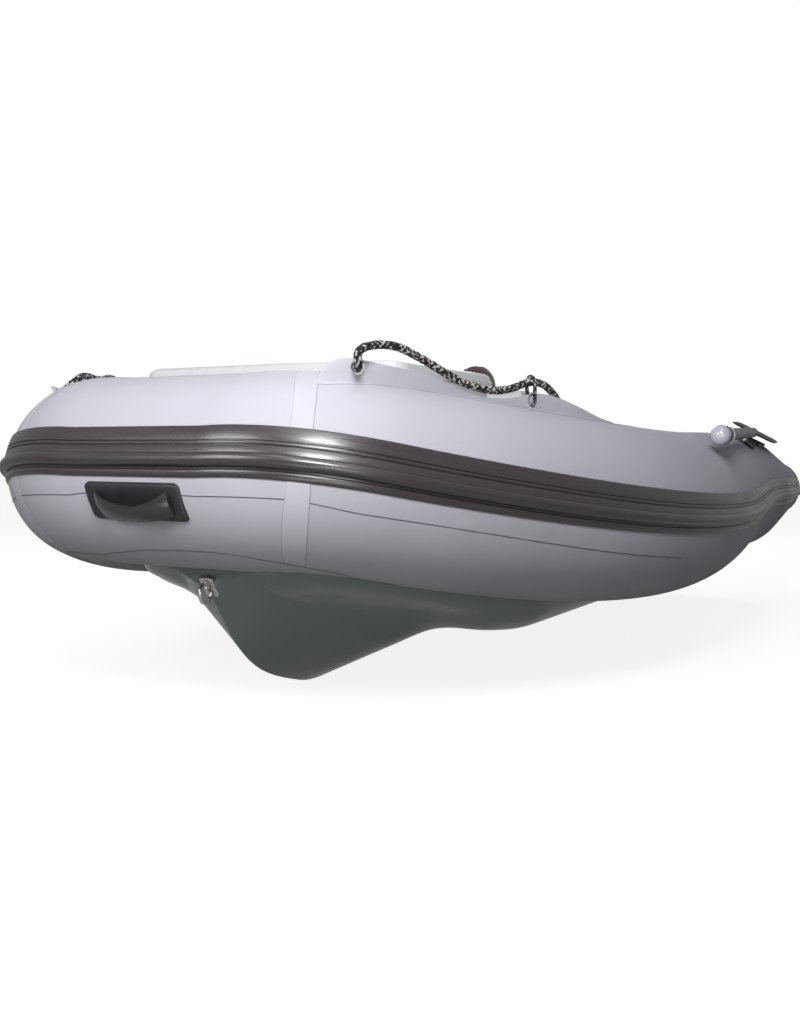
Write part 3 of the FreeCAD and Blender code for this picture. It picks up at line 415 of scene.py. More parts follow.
def gelcoat(name, colour, rough=0.12, depth=0.94):
    """Moulded glass-fibre finish: even colour, clear gloss, a slight print-through of the mat."""
    paint = Paint(name)
    cloud = paint.ramp(paint.noise(1.6, 3.0), (0.3, depth), (0.7, 1.0))
    paint.set(Base_Color=paint.mix(1.0, colour, cloud, "MULTIPLY"))
    paint.set(Roughness=paint.ramp(paint.noise(14.0, 5.0), (0.35, rough), (0.75, rough + 0.12)))
    paint.set(Coat_Weight=0.6, Coat_Roughness=0.05)
    paint.bump(paint.noise(7.0, 2.0), 0.002, 0.25)
    return paint.material


def deck_finish():
    """Non-slip gelcoat: small raised grains."""
    paint = Paint("deck_finish")
    cloud = paint.ramp(paint.noise(3.0), (0.3, 0.9), (0.7, 1.0))
    paint.set(Base_Color=paint.mix(1.0, srgb(196, 198, 196), cloud, "MULTIPLY"))
    grain = paint.add("ShaderNodeTexVoronoi")
    grain.inputs["Scale"].default_value = 260.0
    paint.link(paint.place, grain.inputs["Vector"])
    paint.set(Roughness=paint.ramp(paint.noise(5.0), (0.3, 0.5), (0.7, 0.65)))
    paint.bump(grain.outputs["Distance"], 0.0012, 0.7)
    return paint.material


def plastic(name, colour, rough=0.4, grain=400.0, shine=0.35):
    """Moulded plastic or rubber with a fine grain."""
    paint = Paint(name)
    cloud = paint.ramp(paint.noise(12.0, 4.0), (0.3, 0.85), (0.7, 1.1))
    dull = paint.ramp(paint.noise(20.0, 4.0), (0.3, rough - 0.06), (0.7, rough + 0.1))
    paint.set(Base_Color=paint.mix(1.0, colour, cloud, "MULTIPLY"))
    paint.set(Roughness=dull, Specular_IOR_Level=shine)
    paint.bump(paint.noise(grain, 2.0), 0.0004, 0.4)
    return paint.material


def metal(name, colour, rough=0.18):
    """Polished metal with fine polishing marks."""
    paint = Paint(name)
    cloud = paint.ramp(paint.noise(30.0, 5.0), (0.3, 0.88), (0.7, 1.0))
    marks = paint.noise(40.0, 6.0, (1, 1, 6))
    paint.set(Base_Color=paint.mix(1.0, colour, cloud, "MULTIPLY"), Metallic=1.0)
    paint.set(Roughness=paint.ramp(marks, (0.3, rough - 0.06), (0.7, rough + 0.1)))
    return paint.material


def braid():
    """Braided rope: crossing yarns, most of them black and some pale grey, with painted shade in
    the hollows between the yarns.
    """
    paint = Paint("braid")
    place = paint.uv()
    parts = paint.add("ShaderNodeSeparateXYZ")
    paint.link(place, parts.inputs[0])
    along = paint.math("MULTIPLY", parts.outputs["X"], BRAID_PER_METRE)
    around = paint.math("MULTIPLY", parts.outputs["Y"], BRAID_AROUND)
    yarns = []
    for way in ("ADD", "SUBTRACT"):
        turn = paint.math("MULTIPLY", paint.math(way, along, around), math.tau)
        yarns.append(paint.math("SINE", turn))
    cross = paint.math("MAXIMUM", *yarns)
    mapping = paint.add("ShaderNodeMapping")
    mapping.inputs["Scale"].default_value = (150.0, 9.0, 1.0)
    mapping.inputs["Rotation"].default_value = (0.0, 0.0, 0.6)
    paint.link(place, mapping.inputs["Vector"])
    cells = paint.add("ShaderNodeTexVoronoi")
    cells.inputs["Scale"].default_value = 1.0
    paint.link(mapping.outputs["Vector"], cells.inputs["Vector"])
    pale = paint.ramp(cells.outputs["Color"], (0.52, 0.0), (0.60, 1.0))
    # Painted shade: each yarn colour is darker where the yarns dip between crossings and lighter on
    # their crowns.
    black_yarn_shaded = paint.ramp(cross, (0.1, srgb(16, 15, 16)), (0.6, srgb(46, 44, 45)))
    pale_yarn_shaded = paint.ramp(cross, (0.1, srgb(70, 66, 66)), (0.7, srgb(196, 190, 190)))
    dull = paint.ramp(paint.noise(90.0, 2.0, (3, 1, 1), place), (0.3, 0.5), (0.7, 0.75))
    paint.set(Base_Color=paint.mix(pale, black_yarn_shaded, pale_yarn_shaded))
    paint.set(Roughness=dull, Specular_IOR_Level=0.3)
    paint.bump(cross, 0.0015, 0.8)
    return paint.material


def finishes():
    return {
        "tube": fabric("tube_fabric", srgb(184, 183, 192)),
        "tape": fabric("seam_tape", srgb(188, 187, 196), 0.94),
        "faint": fabric("seam_faint", srgb(164, 164, 172)),
        "strake": strake_rubber(),
        "hull": gelcoat("hull_gelcoat", srgb(112, 124, 122)),
        "white": gelcoat("white_gelcoat", srgb(206, 208, 207), 0.2, 0.97),
        "dome": gelcoat("dome_glass", srgb(74, 58, 55), 0.06),
        "deck": deck_finish(),
        "rubber": plastic("moulded_rubber", srgb(42, 41, 44), 0.42),
        "gloss_rubber": plastic("gloss_rubber", srgb(42, 41, 44), 0.2, 400.0, 0.7),
        "black": plastic("black_plastic", srgb(18, 18, 19), 0.4, 250.0, 0.2),
        "vinyl": plastic("vinyl", srgb(214, 212, 208), 0.4, 160.0),
        "alloy": plastic("oar_shaft", srgb(84, 90, 86), 0.35, 300.0),
        "pale": plastic("pale_end", srgb(176, 174, 188), 0.25, 200.0),
        "seam": plastic("seam_dark", srgb(92, 92, 96), 0.5, 400.0, 0.1),
        "steel": metal("stainless", srgb(214, 212, 208)),
        "plate": metal("motor_plate", srgb(186, 188, 190), 0.35),
        "rope": braid(),
    }


FINISH_NODES = {
    "hull": ("hull", "transom"),
    "deck": ("deck",),
    "plate": ("motor_plate_outer", "motor_plate_inner"),
    "tube": ("bow_tube", "port_tube", "starboard_tube", "port_stern_cone", "starboard_stern_cone"),
    "tape": ("port_lifeline_strip", "starboard_lifeline_strip"),
    "strake": ("bow_strake", "port_strake", "starboard_strake"),
    "rubber": ("port_cone_cap", "starboard_cone_cap", "bow_handle_base", "bow_handle_grip",
               "steering_wheel", "port_rowlock", "starboard_rowlock", "port_rope_boss",
               "starboard_rope_boss", "port_oar_chock", "starboard_oar_chock"),
    "white": ("bow_locker", "bow_locker_lid", "console", "helm_seat"),
    "steel": ("bow_eye", "port_eyelets", "starboard_eyelets", "towing_eyes"),
    "black": ("wheel_mount", "port_valves", "starboard_valves", "drain_plug"),
    "dome": ("compass",),
    "vinyl": ("helm_cushion",),
    "alloy": ("port_oar", "starboard_oar"),
    "rope": ("port_lifeline", "starboard_lifeline"),
}


def dress_nodes(paints):
    """Every CAD node gets its finish."""
    for finish, names in FINISH_NODES.items():
        for name in names:
            mesh = NODES[name].data
            mesh.materials.clear()
            mesh.materials.append(paints[finish])
            for face in mesh.polygons:
                face.material_index = 0


def bezier(points, t):
    a, b, c, d = points
    s = 1.0 - t
    return a * s ** 3 + b * (3 * s * s * t) + c * (3 * s * t * t) + d * t ** 3


def tube_line(u):
    """Point of the port centreline."""
    control = (SHOULDER, SHOULDER + SIDE_FLARE, STERN + STERN_PULL, STERN)
    before = Vector((BOW_X, SHOULDER.y - SHOULDER_ROUND, BOW_Z))
    if u <= 1.0:
        return Vector((BOW_X, before.y * u, BOW_Z))
    if u <= 2.0:
        t = u - 1.0
        after = bezier(control, CORNER_T)
        return before * (1 - t) ** 2 + SHOULDER * (2 * t * (1 - t)) + after * t ** 2
    if u <= 3.0:
        return bezier(control, CORNER_T + (1 - CORNER_T) * (u - 2.0))
    return STERN + CONE_STEP * (u - 3.0)


def tube_radius(u):
    if u <= 2.0:
        return BOW_RADIUS
    if u <= 3.0:
        along = u - 2.0
        swell = 4 * SIDE_FULLNESS * along * (1 - along)
        return BOW_RADIUS + (STERN_RADIUS - BOW_RADIUS) * along + swell
    return STERN_RADIUS + (CONE_END_RADIUS - STERN_RADIUS) * (u - 3.0)


def tube_sides(u):
    """Directions square to the centreline: outward and up."""
    ahead = tube_line(min(u + U_STEP, U_END))
    tangent = (ahead - tube_line(max(u - U_STEP, 0.0))).normalized()
    outward = tangent.cross(UP).normalized()
    return outward, outward.cross(tangent).normalized()


def tube_point(u, angle, proud=0.0):
    """Point on the port tube, at an angle in degrees from its top towards the outside."""
    outward, up = tube_sides(u)
    turn = math.radians(angle)
    direction = up * math.cos(turn) + outward * math.sin(turn)
    return tube_line(u) + direction * (tube_radius(u) + proud)


def skin(u, angle, proud=0.0):
    """Point on the tube of either side: negative u is starboard."""
    point = tube_point(abs(u), angle, proud)
    if u < 0:
        point.y = -point.y
    return point


def places_round(bow, corner, side, cone, end):
    """u from the starboard stern round the bow to port, with so many steps in each stretch."""
    places = []
    for start, count in enumerate((bow, corner, side, cone)):
        places += [start + i / count for i in range(count)]
    places.append(end)
    return [-u for u in reversed(places[1:])] + places


def place_on_line(length):
    """u at a length along the centreline, from the middle of the bow."""
    u = 0.0
    gone = 0.0
    before = tube_line(0.0)
    while u < U_END:
        u += U_STEP
        point = tube_line(u)
        step = (point - before).length
        if gone + step >= length:
            return u - U_STEP * (gone + step - length) / step
        gone += step
        before = point
    return u


def piece(name, points, faces, paint, uvs=None, sharp=35.0, body=BOAT, slot=None):
    """Mesh object that rides on a body. uvs hold one pair for each corner of each face."""
    mesh = bpy.data.meshes.new(name)
    mesh.from_pydata([tuple(point) for point in points], [], faces)
    if uvs:
        layer = mesh.uv_layers.new(name="UVMap")
        for entry, pair in zip(layer.data, uvs):
            entry.uv = pair
    for face in mesh.polygons:
        face.use_smooth = True
    mesh.set_sharp_from_angle(angle=math.radians(sharp))
    mesh.materials.append(paint)
    obj = bpy.data.objects.new(name, mesh)
    bpy.context.scene.collection.objects.link(obj)
    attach(obj, body)
    return obj


def grid(name, rows, paint, closed=False, caps=False, uv=None, **settings):
    """Surface through rows of points. closed joins each row's ends, caps fill the end rows."""
    width = len(rows[0])
    last = len(rows) - 1
    points = [point for row in rows for point in row]
    faces = []
    pairs = []
    for i in range(last):
        for j in range(width if closed else width - 1):
            k = (j + 1) % width
            a, b = i * width, (i + 1) * width
            faces.append((a + j, a + k, b + k, b + j))
            if uv:
                pairs += [uv(i, j), uv(i, j + 1), uv(i + 1, j + 1), uv(i + 1, j)]
    if caps:
        faces.append(tuple(reversed(range(width))))
        faces.append(tuple(range(len(points) - width, len(points))))
        if uv:
            pairs += [uv(0, j) for j in reversed(range(width))]
            pairs += [uv(last, j) for j in range(width)]
    return piece(name, points, faces, paint, pairs, **settings)


def lengths_along(line):
    """Length from the first point of a line to each of its points."""
    lengths = [0.0]
    for a, b in zip(line, line[1:]):
        lengths.append(lengths[-1] + (b - a).length)
    return lengths


def resample(line, count):
    """Evenly spaced points along a line."""
    lengths = lengths_along(line)
    even = []
    i = 0
    for k in range(count):
        want = lengths[-1] * k / (count - 1)
        while i < len(lengths) - 2 and lengths[i + 1] < want:
            i += 1
        share = (want - lengths[i]) / max(lengths[i + 1] - lengths[i], 1e-9)
        even.append(line[i].lerp(line[i + 1], min(share, 1.0)))
    return even


def eased(points, count):
    """Even points along the given ones, with the corners eased."""
    line = resample([Vector(point) for point in points], count)
    for _ in range(6):
        inner = [(a + b * 2 + c) / 4 for a, b, c in zip(line, line[1:], line[2:])]
        line = [line[0]] + inner + [line[-1]]
    return line


def eased_places(places, count):
    """Even (u, angle) places along the given ones, with one u counted as 60 degrees."""
    line = eased([(u * U_AS_DEGREES, angle) for u, angle in places], count)
    return [Vector((point.x / U_AS_DEGREES, point.y)) for point in line]


def mirrored(places):
    return [(-u, angle) for u, angle in places]


def tube_mesh(name, route, radius, paint, sides=20, **settings):
    """Round rod along a route of points. radius is one number or one for each point."""
    radii = radius if isinstance(radius, list) else [radius] * len(route)
    lengths = lengths_along(route)
    side = (route[1] - route[0]).normalized().orthogonal().normalized()
    rows = []
    for i, point in enumerate(route):
        ahead = route[min(i + 1, len(route) - 1)] - route[max(i - 1, 0)]
        ahead.normalize()
        side = (side - ahead * side.dot(ahead)).normalized()
        other = ahead.cross(side)
        row = []
        for j in range(sides):
            turn = math.tau * j / sides
            row.append(point + (side * math.cos(turn) + other * math.sin(turn)) * radii[i])
        rows.append(row)
    return grid(name, rows, paint, closed=True, caps=True,
                uv=lambda i, j: (lengths[i], j / sides), **settings)


def lathe(name, start, along, profile, paint, **settings):
    """Turned piece: profile holds (distance along the axis, radius)."""
    route = [start + along * distance for distance, radius in profile]
    radii = [max(radius, 0.0004) for distance, radius in profile]
    return tube_mesh(name, route, radii, paint, sides=40, **settings)


def rounded_outline(half_a, half_b, corner, inset, least, steps):
    """(a, b) pairs round a rectangle with rounded corners. least is the smallest corner radius."""
    radius = max(corner - inset, least)
    pull = max(inset - corner + least, 0.0)
    pairs = []
    for start, a_sign, b_sign in ((0, 1, 1), (90, -1, 1), (180, -1, -1), (270, 1, -1)):
        for k in range(steps + 1):
            turn = math.radians(start + 90 * k / steps)
            pairs.append((a_sign * (half_a - corner - pull) + radius * math.cos(turn),
                          b_sign * (half_b - corner - pull) + radius * math.sin(turn)))
    return pairs


def cord_line(name, points):
    """Points on the cord's centreline, read from a curve with the cord's control points."""
    data = bpy.data.curves.new(name, "CURVE")
    data.dimensions = "3D"
    data.resolution_u = 24
    line = data.splines.new("NURBS")
    line.points.add(len(points) - 1)
    for point, place in zip(line.points, points):
        point.co = (place[0] / 1000.0, place[1] / 1000.0, place[2] / 1000.0, 1.0)
    line.order_u = 3
    line.use_endpoint_u = True
    obj = bpy.data.objects.new(name, data)
    bpy.context.scene.collection.objects.link(obj)
    graph = bpy.context.evaluated_depsgraph_get()
    mesh = bpy.data.meshes.new_from_object(obj.evaluated_get(graph))
    centres = [vertex.co.copy() for vertex in mesh.vertices]
    bpy.data.objects.remove(obj)
    bpy.data.meshes.remove(mesh)
    return centres


def braided(name, centres, radius, paint, **settings):
    """Braided rope: yarns that cross over and under give the skin its relief."""
    route = resample(centres, int(lengths_along(centres)[-1] / BRAID_STEP))
    obj = tube_mesh(name, route, radius, paint, sides=BRAID_SIDES, sharp=180.0, **settings)
    for vertex in obj.data.vertices:
        i, j = divmod(vertex.index, BRAID_SIDES)
        along = i * BRAID_STEP * BRAID_PER_METRE
        around = j / BRAID_SIDES * BRAID_AROUND
        relief = sum(max(math.sin(math.tau * turn), 0) ** 2
                     for turn in (along + around, along - around))
        vertex.co = route[i] + (vertex.co - route[i]) * (0.88 + 0.06 * relief)
    return obj


def rope_tie(paints, centres):
    """Short lashing that holds the port rope to the second eyelet."""
    vertices = NODES["port_eyelets"].data.vertices
    near = [vertex.co for vertex in vertices if vertex.co.x < SECOND_EYELET_BEHIND]
    eye = sum(near, Vector()) / len(near)
    above = min((point for point in centres if point.x > ROPE_OUTSIDE_BEFORE),
                key=lambda point: abs(point.x - eye.x))
    middle = (eye + above) / 2
    rise = (above - eye) / 2
    height = rise.length + TIE_REACH
    up = rise.normalized()
    across = Vector((-0.16, 0.99, 0)).cross(UP).cross(up).normalized()
    ring = []
    for k in range(49):
        turn = math.tau * k / 48
        wide = TIE_HALF_WIDTH + TIE_SWELL * max(math.sin(turn), 0.0)
        ring.append(middle + up * (math.sin(turn) * height) + across * (math.cos(turn) * wide))
    return braided("port_rope_tie", ring, TIE_RADIUS, paints["rope"], slot="rope")


def lifelines(paints):
    for side, points in (("port", PORT_ROPE), ("starboard", STARBOARD_ROPE)):
        centres = cord_line(side + "_line", points)
        rope = braided(side + "_rope", centres, ROPE_DIAMETER / 2, paints["rope"], slot="rope")
        extra = [rope_tie(paints, centres)] if side == "port" else []
        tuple(centres[0])
        lengths_along(centres)[-1]
        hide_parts(side + "_lifeline")


def tube_skin(paints):
    """Fabric skin of the whole tube in one piece, from one stern cone to the other."""
    rows = [[skin(u, 360.0 * j / 96) for j in range(96)] for u in places_round(8, 40, 56, 8, U_END)]
    obj = grid("tube_skin", rows, paints["tube"], closed=True, caps=True, sharp=60.0,
               slot="tube_fabric")
    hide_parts("bow_tube", "port_tube", "starboard_tube", "port_stern_cone",
                "starboard_stern_cone")


def line_strips(paints):
    """Doubled fabric strip of each side with a rounded top edge and welded foot."""
    sides = (("port", 1, 0.0, 0.0), ("starboard", -1, STARBOARD_STRIP_SHIFT, STARBOARD_STRIP_LEAN))
    for side, sign, shift, lean in sides:
        tilt = math.radians(lean)
        rows = []
        for entry in eased(STRIP_SHAPE, 150):
            u = place_on_line(STRIP_ZERO + shift + entry.x / 1000.0)
            outward = tube_sides(u)[0]
            rise = UP * math.cos(tilt) + outward * math.sin(tilt)
            square = outward * math.cos(tilt) - UP * math.sin(tilt)
            foot = tube_point(u, entry.y) - square * STRIP_HALF
            top = max(entry.z / 1000.0, 0.003)
            half = [STRIP_FOOT, (STRIP_HALF, top * 0.5)]
            half += [(across, top - depth) for across, depth in STRIP_EDGE]
            section = half + [(0.0, top)] + [(-across, height) for across, height in reversed(half)]
            row = [foot + square * across + rise * height for across, height in section]
            rows.append([point * Vector((1, sign, 1)) for point in row])
        strip = grid(side + "_strip", rows, paints["tape"], closed=True, caps=True, sharp=50.0,
                     slot="tube_fabric")
        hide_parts(side + "_lifeline_strip")


def strake(paints):
    """Rub strake in one run round the boat, with its lips, double groove, bead and lower groove."""
    rows = []
    for u in places_round(6, 44, 60, 10, 3.998):
        outward = tube_sides(abs(u))[0]
        middle = 90.0 - STRAKE_LIFT_ANGLE - STRAKE_BOW_LIFT_ANGLE * outward.x ** 2
        radius = tube_radius(abs(u))
        rows.append([skin(u, middle + math.degrees(down / 1000.0 / radius), height / 1000.0)
                     for down, height in STRAKE_SECTION])
    lengths = lengths_along([row[STRAKE_MIDDLE] for row in rows])
    obj = grid("rub_strake", rows, paints["strake"], sharp=42.0, slot="moulded_rubber",
               uv=lambda i, j: (lengths[i], STRAKE_SECTION[j][0] / 1000.0))
    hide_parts("bow_strake", "port_strake", "starboard_strake")


def band(name, upper, lower, proud, paint, count=40):
    """Flat tape on the tube between two lines of (u, angle) places, with thin edges."""
    shares = [(0.0, TAPE_SUNK), (0.015, proud), (0.25, proud), (0.5, proud), (0.75, proud),
              (0.985, proud), (1.0, TAPE_SUNK)]
    rows = []
    for k, (a, b) in enumerate(zip(eased_places(upper, count), eased_places(lower, count))):
        end = k in (0, count - 1)
        rows.append([skin(*a.lerp(b, share), TAPE_SUNK if end else height)
                     for share, height in shares])
    return grid(name, rows, paint, sharp=60.0, slot="tube_fabric")


def seam(name, places, paint, width, count=80, upright=False):
    """Thin raised line through (u, angle) places. An upright one runs across the tube."""
    rows = []
    for place in eased_places(places, count):
        if upright:
            step = 0.0006
            ahead, behind = skin(place.x + step, place.y), skin(place.x - step, place.y)
            half = Vector((width / 2 * (2 * step) / (ahead - behind).length, 0.0))
        else:
            half = Vector((0.0, math.degrees(width / 2 / tube_radius(abs(place.x)))))
        rows.append([skin(*(place - half), SEAM_EDGE), skin(*place, SEAM_HEIGHT),
                     skin(*(place + half), SEAM_EDGE)])
    return grid(name, rows, paint, sharp=180.0, slot="tube_fabric")


def tube_details(paints):
    """Tapes over the joints of the fabric and the seam lines beside them."""
    fore, aft = CORNER_SEAM_FORE, CORNER_SEAM_AFT
    tape, faint, dark = paints["tape"], paints["faint"], paints["seam"]
    band("port_corner_tape", fore, aft, 0.0012, tape)
    seam("port_corner_seam_fore", fore, faint, TAPE_SEAM_WIDTH, 60, upright=True)
    seam("port_corner_seam_aft", aft, faint, TAPE_SEAM_WIDTH, 60, upright=True)
    band("starboard_corner_tape", mirrored(aft), mirrored(fore), 0.0012, tape)
    seam("starboard_corner_seam", mirrored(fore), faint, TAPE_SEAM_WIDTH, 60, upright=True)
    seam("lower_band_seam", LOWER_BAND, dark, BAND_SEAM_WIDTH, 160)
    seam("hull_band_seam", HULL_BAND, dark, BAND_SEAM_WIDTH, 160)


def foot_tape(paints):
    """Tape that holds each strip's foot, with a rounded front end."""
    upper, lower = FOOT_TAPE_UPPER, FOOT_TAPE_LOWER
    sides = (("port", upper, lower, lower),
             ("starboard", mirrored(lower), mirrored(upper), mirrored(lower)))
    for side, first, second, edge in sides:
        band(side + "_foot_tape", first, second, 0.0009, paints["tape"], count=70)
        seam(side + "_foot_tape_edge", edge, paints["faint"], TAPE_SEAM_WIDTH)


def handle_place(s, t, proud):
    """s runs from -1 to 1 across the boat and t from 0 at the handle's top edge to 1 below."""
    point = skin(0.0, HANDLE_TOP + (HANDLE_BOTTOM - HANDLE_TOP) * t, proud)
    point.y = HANDLE_SHIFT + HANDLE_HALF * s + HANDLE_LEAN * (t - 0.5)
    return point


def carry_handle(paints):
    """Bow handle: a moulded patch with a rounded rim and a broad strap that stands off it."""
    half_steps = [0.3, 0.6, 0.8, 0.9, 0.95, 0.985, 1.0]
    rows = []
    for s in [-step for step in reversed(half_steps)] + [0.0] + half_steps:
        row = []
        for t in [0.0, 0.02, 0.06, 0.12, 0.2, 0.35, 0.5, 0.65, 0.8, 0.88, 0.94, 0.98, 1.0]:
            inset = PATCH_CORNER * max(0.0, 1 - (1 - abs(s)) / PATCH_CORNER) ** 2
            depth = min((1 - abs(s)) / 0.05, min(t, 1 - t) / 0.10, 1.0)
            height = PATCH_EDGE + PATCH_RIM * math.sqrt(max(0.0, 1 - (1 - depth) ** 2))
            cup = min((1 - abs(s)) / 0.16, min(t, 1 - t) / 0.22)
            if cup > 1:
                height -= PATCH_HOLLOW * min(1.0, (cup - 1) * 3)
            row.append(handle_place(s, inset + t * (1 - 2 * inset), height))
        rows.append(row)
    base = grid("bow_handle_patch", rows, paints["rubber"], sharp=60.0, slot="moulded_rubber")
    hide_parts("bow_handle_base")

    rows = []
    for k in range(41):
        s = STRAP_REACH * (-1 + k / 20)
        share = abs(s) / STRAP_REACH
        rise = STRAP_RISE * (1 - share ** 2.6)
        upper = 0.46 - 0.26 * share ** 2.2 + 0.03 * math.sin(math.pi * s / STRAP_REACH)
        lower = 0.90 - 0.10 * share ** 4
        outline = []
        for j in range(11):
            q = j / 10
            bulge = rise * (1.0 - 0.55 * q ** 1.5) + 0.004 * math.sin(math.pi * q)
            outline.append((upper + (lower - upper) * q, PATCH_RIM + bulge))
        row = [handle_place(s, t, height + STRAP_HALF_THICK) for t, height in outline]
        row += [handle_place(s, t, max(height - STRAP_HALF_THICK, STRAP_LOWEST))
                for t, height in reversed(outline)]
        rows.append(row)
    grip = grid("bow_handle_strap", rows, paints["gloss_rubber"], closed=True, caps=True,
                sharp=50.0, slot="moulded_rubber")
    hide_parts("bow_handle_grip")


def locker_lid(paints):
    """Moulded lid: a rounded top edge, a proud lip under it and a set-back skirt."""
    rows = []
    for inset, z, camber in LID_PROFILE:
        outline = rounded_outline(LID_HALF_LENGTH, LID_HALF_WIDTH, LID_CORNER, inset, 0.001, 12)
        rows.append([LID_MIDDLE + Vector((x, y, z - camber * y * y / (2 * LID_CAMBER_RADIUS)))
                     for x, y in outline])
    lid = grid("locker_lid_shell", rows, paints["white"], closed=True, caps=True, sharp=40.0,
               body="bow_locker_lid", slot="white_gelcoat")
    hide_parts("bow_locker_lid")


def bow_eye(paints):
    """Stainless plate with rounded corners and two screws, and a D ring in its lug."""
    slope = math.radians(EYE_SLOPE)
    outward = Vector((math.cos(slope), 0, -math.sin(slope)))
    down = Vector((-math.sin(slope), 0, -math.cos(slope)))
    steel = paints["steel"]
    rows = []
    for inset, height in EYE_PROFILE:
        outline = rounded_outline(EYE_HALF_WIDTH, EYE_HALF_LENGTH, EYE_CORNER, inset, 0.0005, 6)
        rows.append([EYE_PLACE + Vector((0, a, 0)) + down * b + outward * height
                     for a, b in outline])
    plate = grid("bow_eye_plate", rows, steel, closed=True, caps=True, sharp=40.0,
                 slot="stainless")
    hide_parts("bow_eye")
    for k, offset in enumerate((-EYE_SCREW_OFFSET, EYE_SCREW_OFFSET)):
        lathe("bow_eye_screw_%d" % k, EYE_PLACE + down * offset + outward * EYE_FACE, outward,
              EYE_SCREW, steel, slot="stainless")
    lug = []
    for k in range(13):
        turn = math.pi * k / 12
        out = outward * (EYE_FACE + EYE_LUG_REACH * math.sin(turn))
        lug.append(EYE_PLACE + out + down * (-EYE_LUG_REACH * math.cos(turn)))
    tube_mesh("bow_eye_lug", lug, EYE_LUG_WIRE, steel, sides=14, slot="stainless")
    centre = EYE_PLACE + outward * EYE_RING_CENTRE + Vector((0, 0, -EYE_RING_DROP))
    ring = []
    for k in range(49):
        turn = math.tau * k / 48
        ring.append(centre + Vector((math.cos(turn) * EYE_RING_HALF_WIDTH, 0.0,
                                     math.sin(turn) * EYE_RING_HALF_HEIGHT)))
    tube_mesh("bow_eye_ring", ring, EYE_RING_WIRE, steel, sides=16, slot="stainless")


def compass(paints):
    """Dark glass dome in a ring on the console."""
    ring = lathe("compass_ring", COMPASS_FOOT, UP, COMPASS_RING, paints["black"],
                 slot="black_plastic")
    profile = [(0.0160, DOME_RADIUS)]
    for k in range(1, 25):
        turn = math.radians(90.0 * k / 24)
        profile.append((0.0175 + DOME_HEIGHT * math.sin(turn), DOME_RADIUS * math.cos(turn)))
    lathe("compass_dome", COMPASS_FOOT, UP, profile, paints["dome"], slot="black_plastic")
    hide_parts("compass")


def cushion(paints):
    """Helm cushion: a crowned top, rounded sides and a welt round both edges."""
    def bowed(value):
        return math.copysign(abs(value) ** CUSHION_SQUARENESS, value)

    rows = []
    for inset, z in CUSHION_PROFILE:
        row = []
        for k in range(64):
            turn = math.tau * (k + 0.5) / 64
            x = (CUSHION_HALF_LENGTH - inset) * bowed(math.cos(turn))
            y = (CUSHION_HALF_WIDTH - inset) * bowed(math.sin(turn))
            row.append(CUSHION_MIDDLE + Vector((x, y, z)))
        rows.append(row)
    obj = grid("helm_cushion_pad", rows, paints["vinyl"], closed=True, caps=True, sharp=70.0,
               slot="cushion_vinyl")
    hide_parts("helm_cushion")


def oars(paints):
    """Each oar: a grip with a pale end, shaft, clamp rings, collar with its pin and a blade."""
    grip_profile = [(0.017, 0.0250), (0.020, 0.0264)]
    for k in range(GRIP_RIBS):
        rib = k * GRIP_RIB_STEP
        grip_profile += [(0.024 + rib, 0.0266), (0.0262 + rib, 0.0254), (0.0284 + rib, 0.0266)]
    grip_profile += [(0.124, 0.0264), (0.129, 0.0236), (0.130, 0.0185)]
    collar_half = [(-0.018, 0.0185), (-0.018, 0.0205), (-0.0165, 0.022), (-0.006, 0.022),
                   (-0.005, 0.0212)]
    collar = collar_half + [(-distance, radius) for distance, radius in reversed(collar_half)]

    for side, sign in (("port", 1), ("starboard", -1)):
        flip = Vector((1, sign, 1))
        start = tube_point(*OAR_END) * flip
        lock = tube_point(*OAR_LOCK) * flip
        foot = tube_point(*OAR_LOCK[:2]) * flip
        normal = (lock - foot).normalized()
        along = (lock - start).normalized()
        body = side + "_oar"
        fit = {"body": body, "slot": "oar_black"}
        lathe(body + "_cap", start, along, OAR_CAP, paints["pale"], **fit)
        lathe(body + "_button", start - along * 0.0006, along, OAR_BUTTON, paints["white"], **fit)
        grip = lathe(body + "_grip", start, along, grip_profile, paints["alloy"], **fit)
        lathe(body + "_shaft", start, along, OAR_SHAFT, paints["alloy"], **fit)
        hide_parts(body)
        for k, (distance, radius) in enumerate(OAR_RINGS):
            ring = [(0.0, -0.004), (0.001, 0.0), (0.004, 0.0008), (0.011, 0.0008), (0.014, 0.0),
                    (0.015, -0.004)]
            ring = [(distance + step, radius + rise) for step, rise in ring]
            lathe("%s_ring_%d" % (body, k), start, along, ring, paints["steel"], **fit)
        middle = (lock - start).dot(along)
        placed = [(middle + distance, radius) for distance, radius in collar]
        lathe(body + "_collar", start, along, placed, paints["black"], **fit)
        lathe(body + "_pin", foot + normal * 0.002, normal, OAR_PIN, paints["steel"], **fit)
        blade(body, sign, start, along, paints)


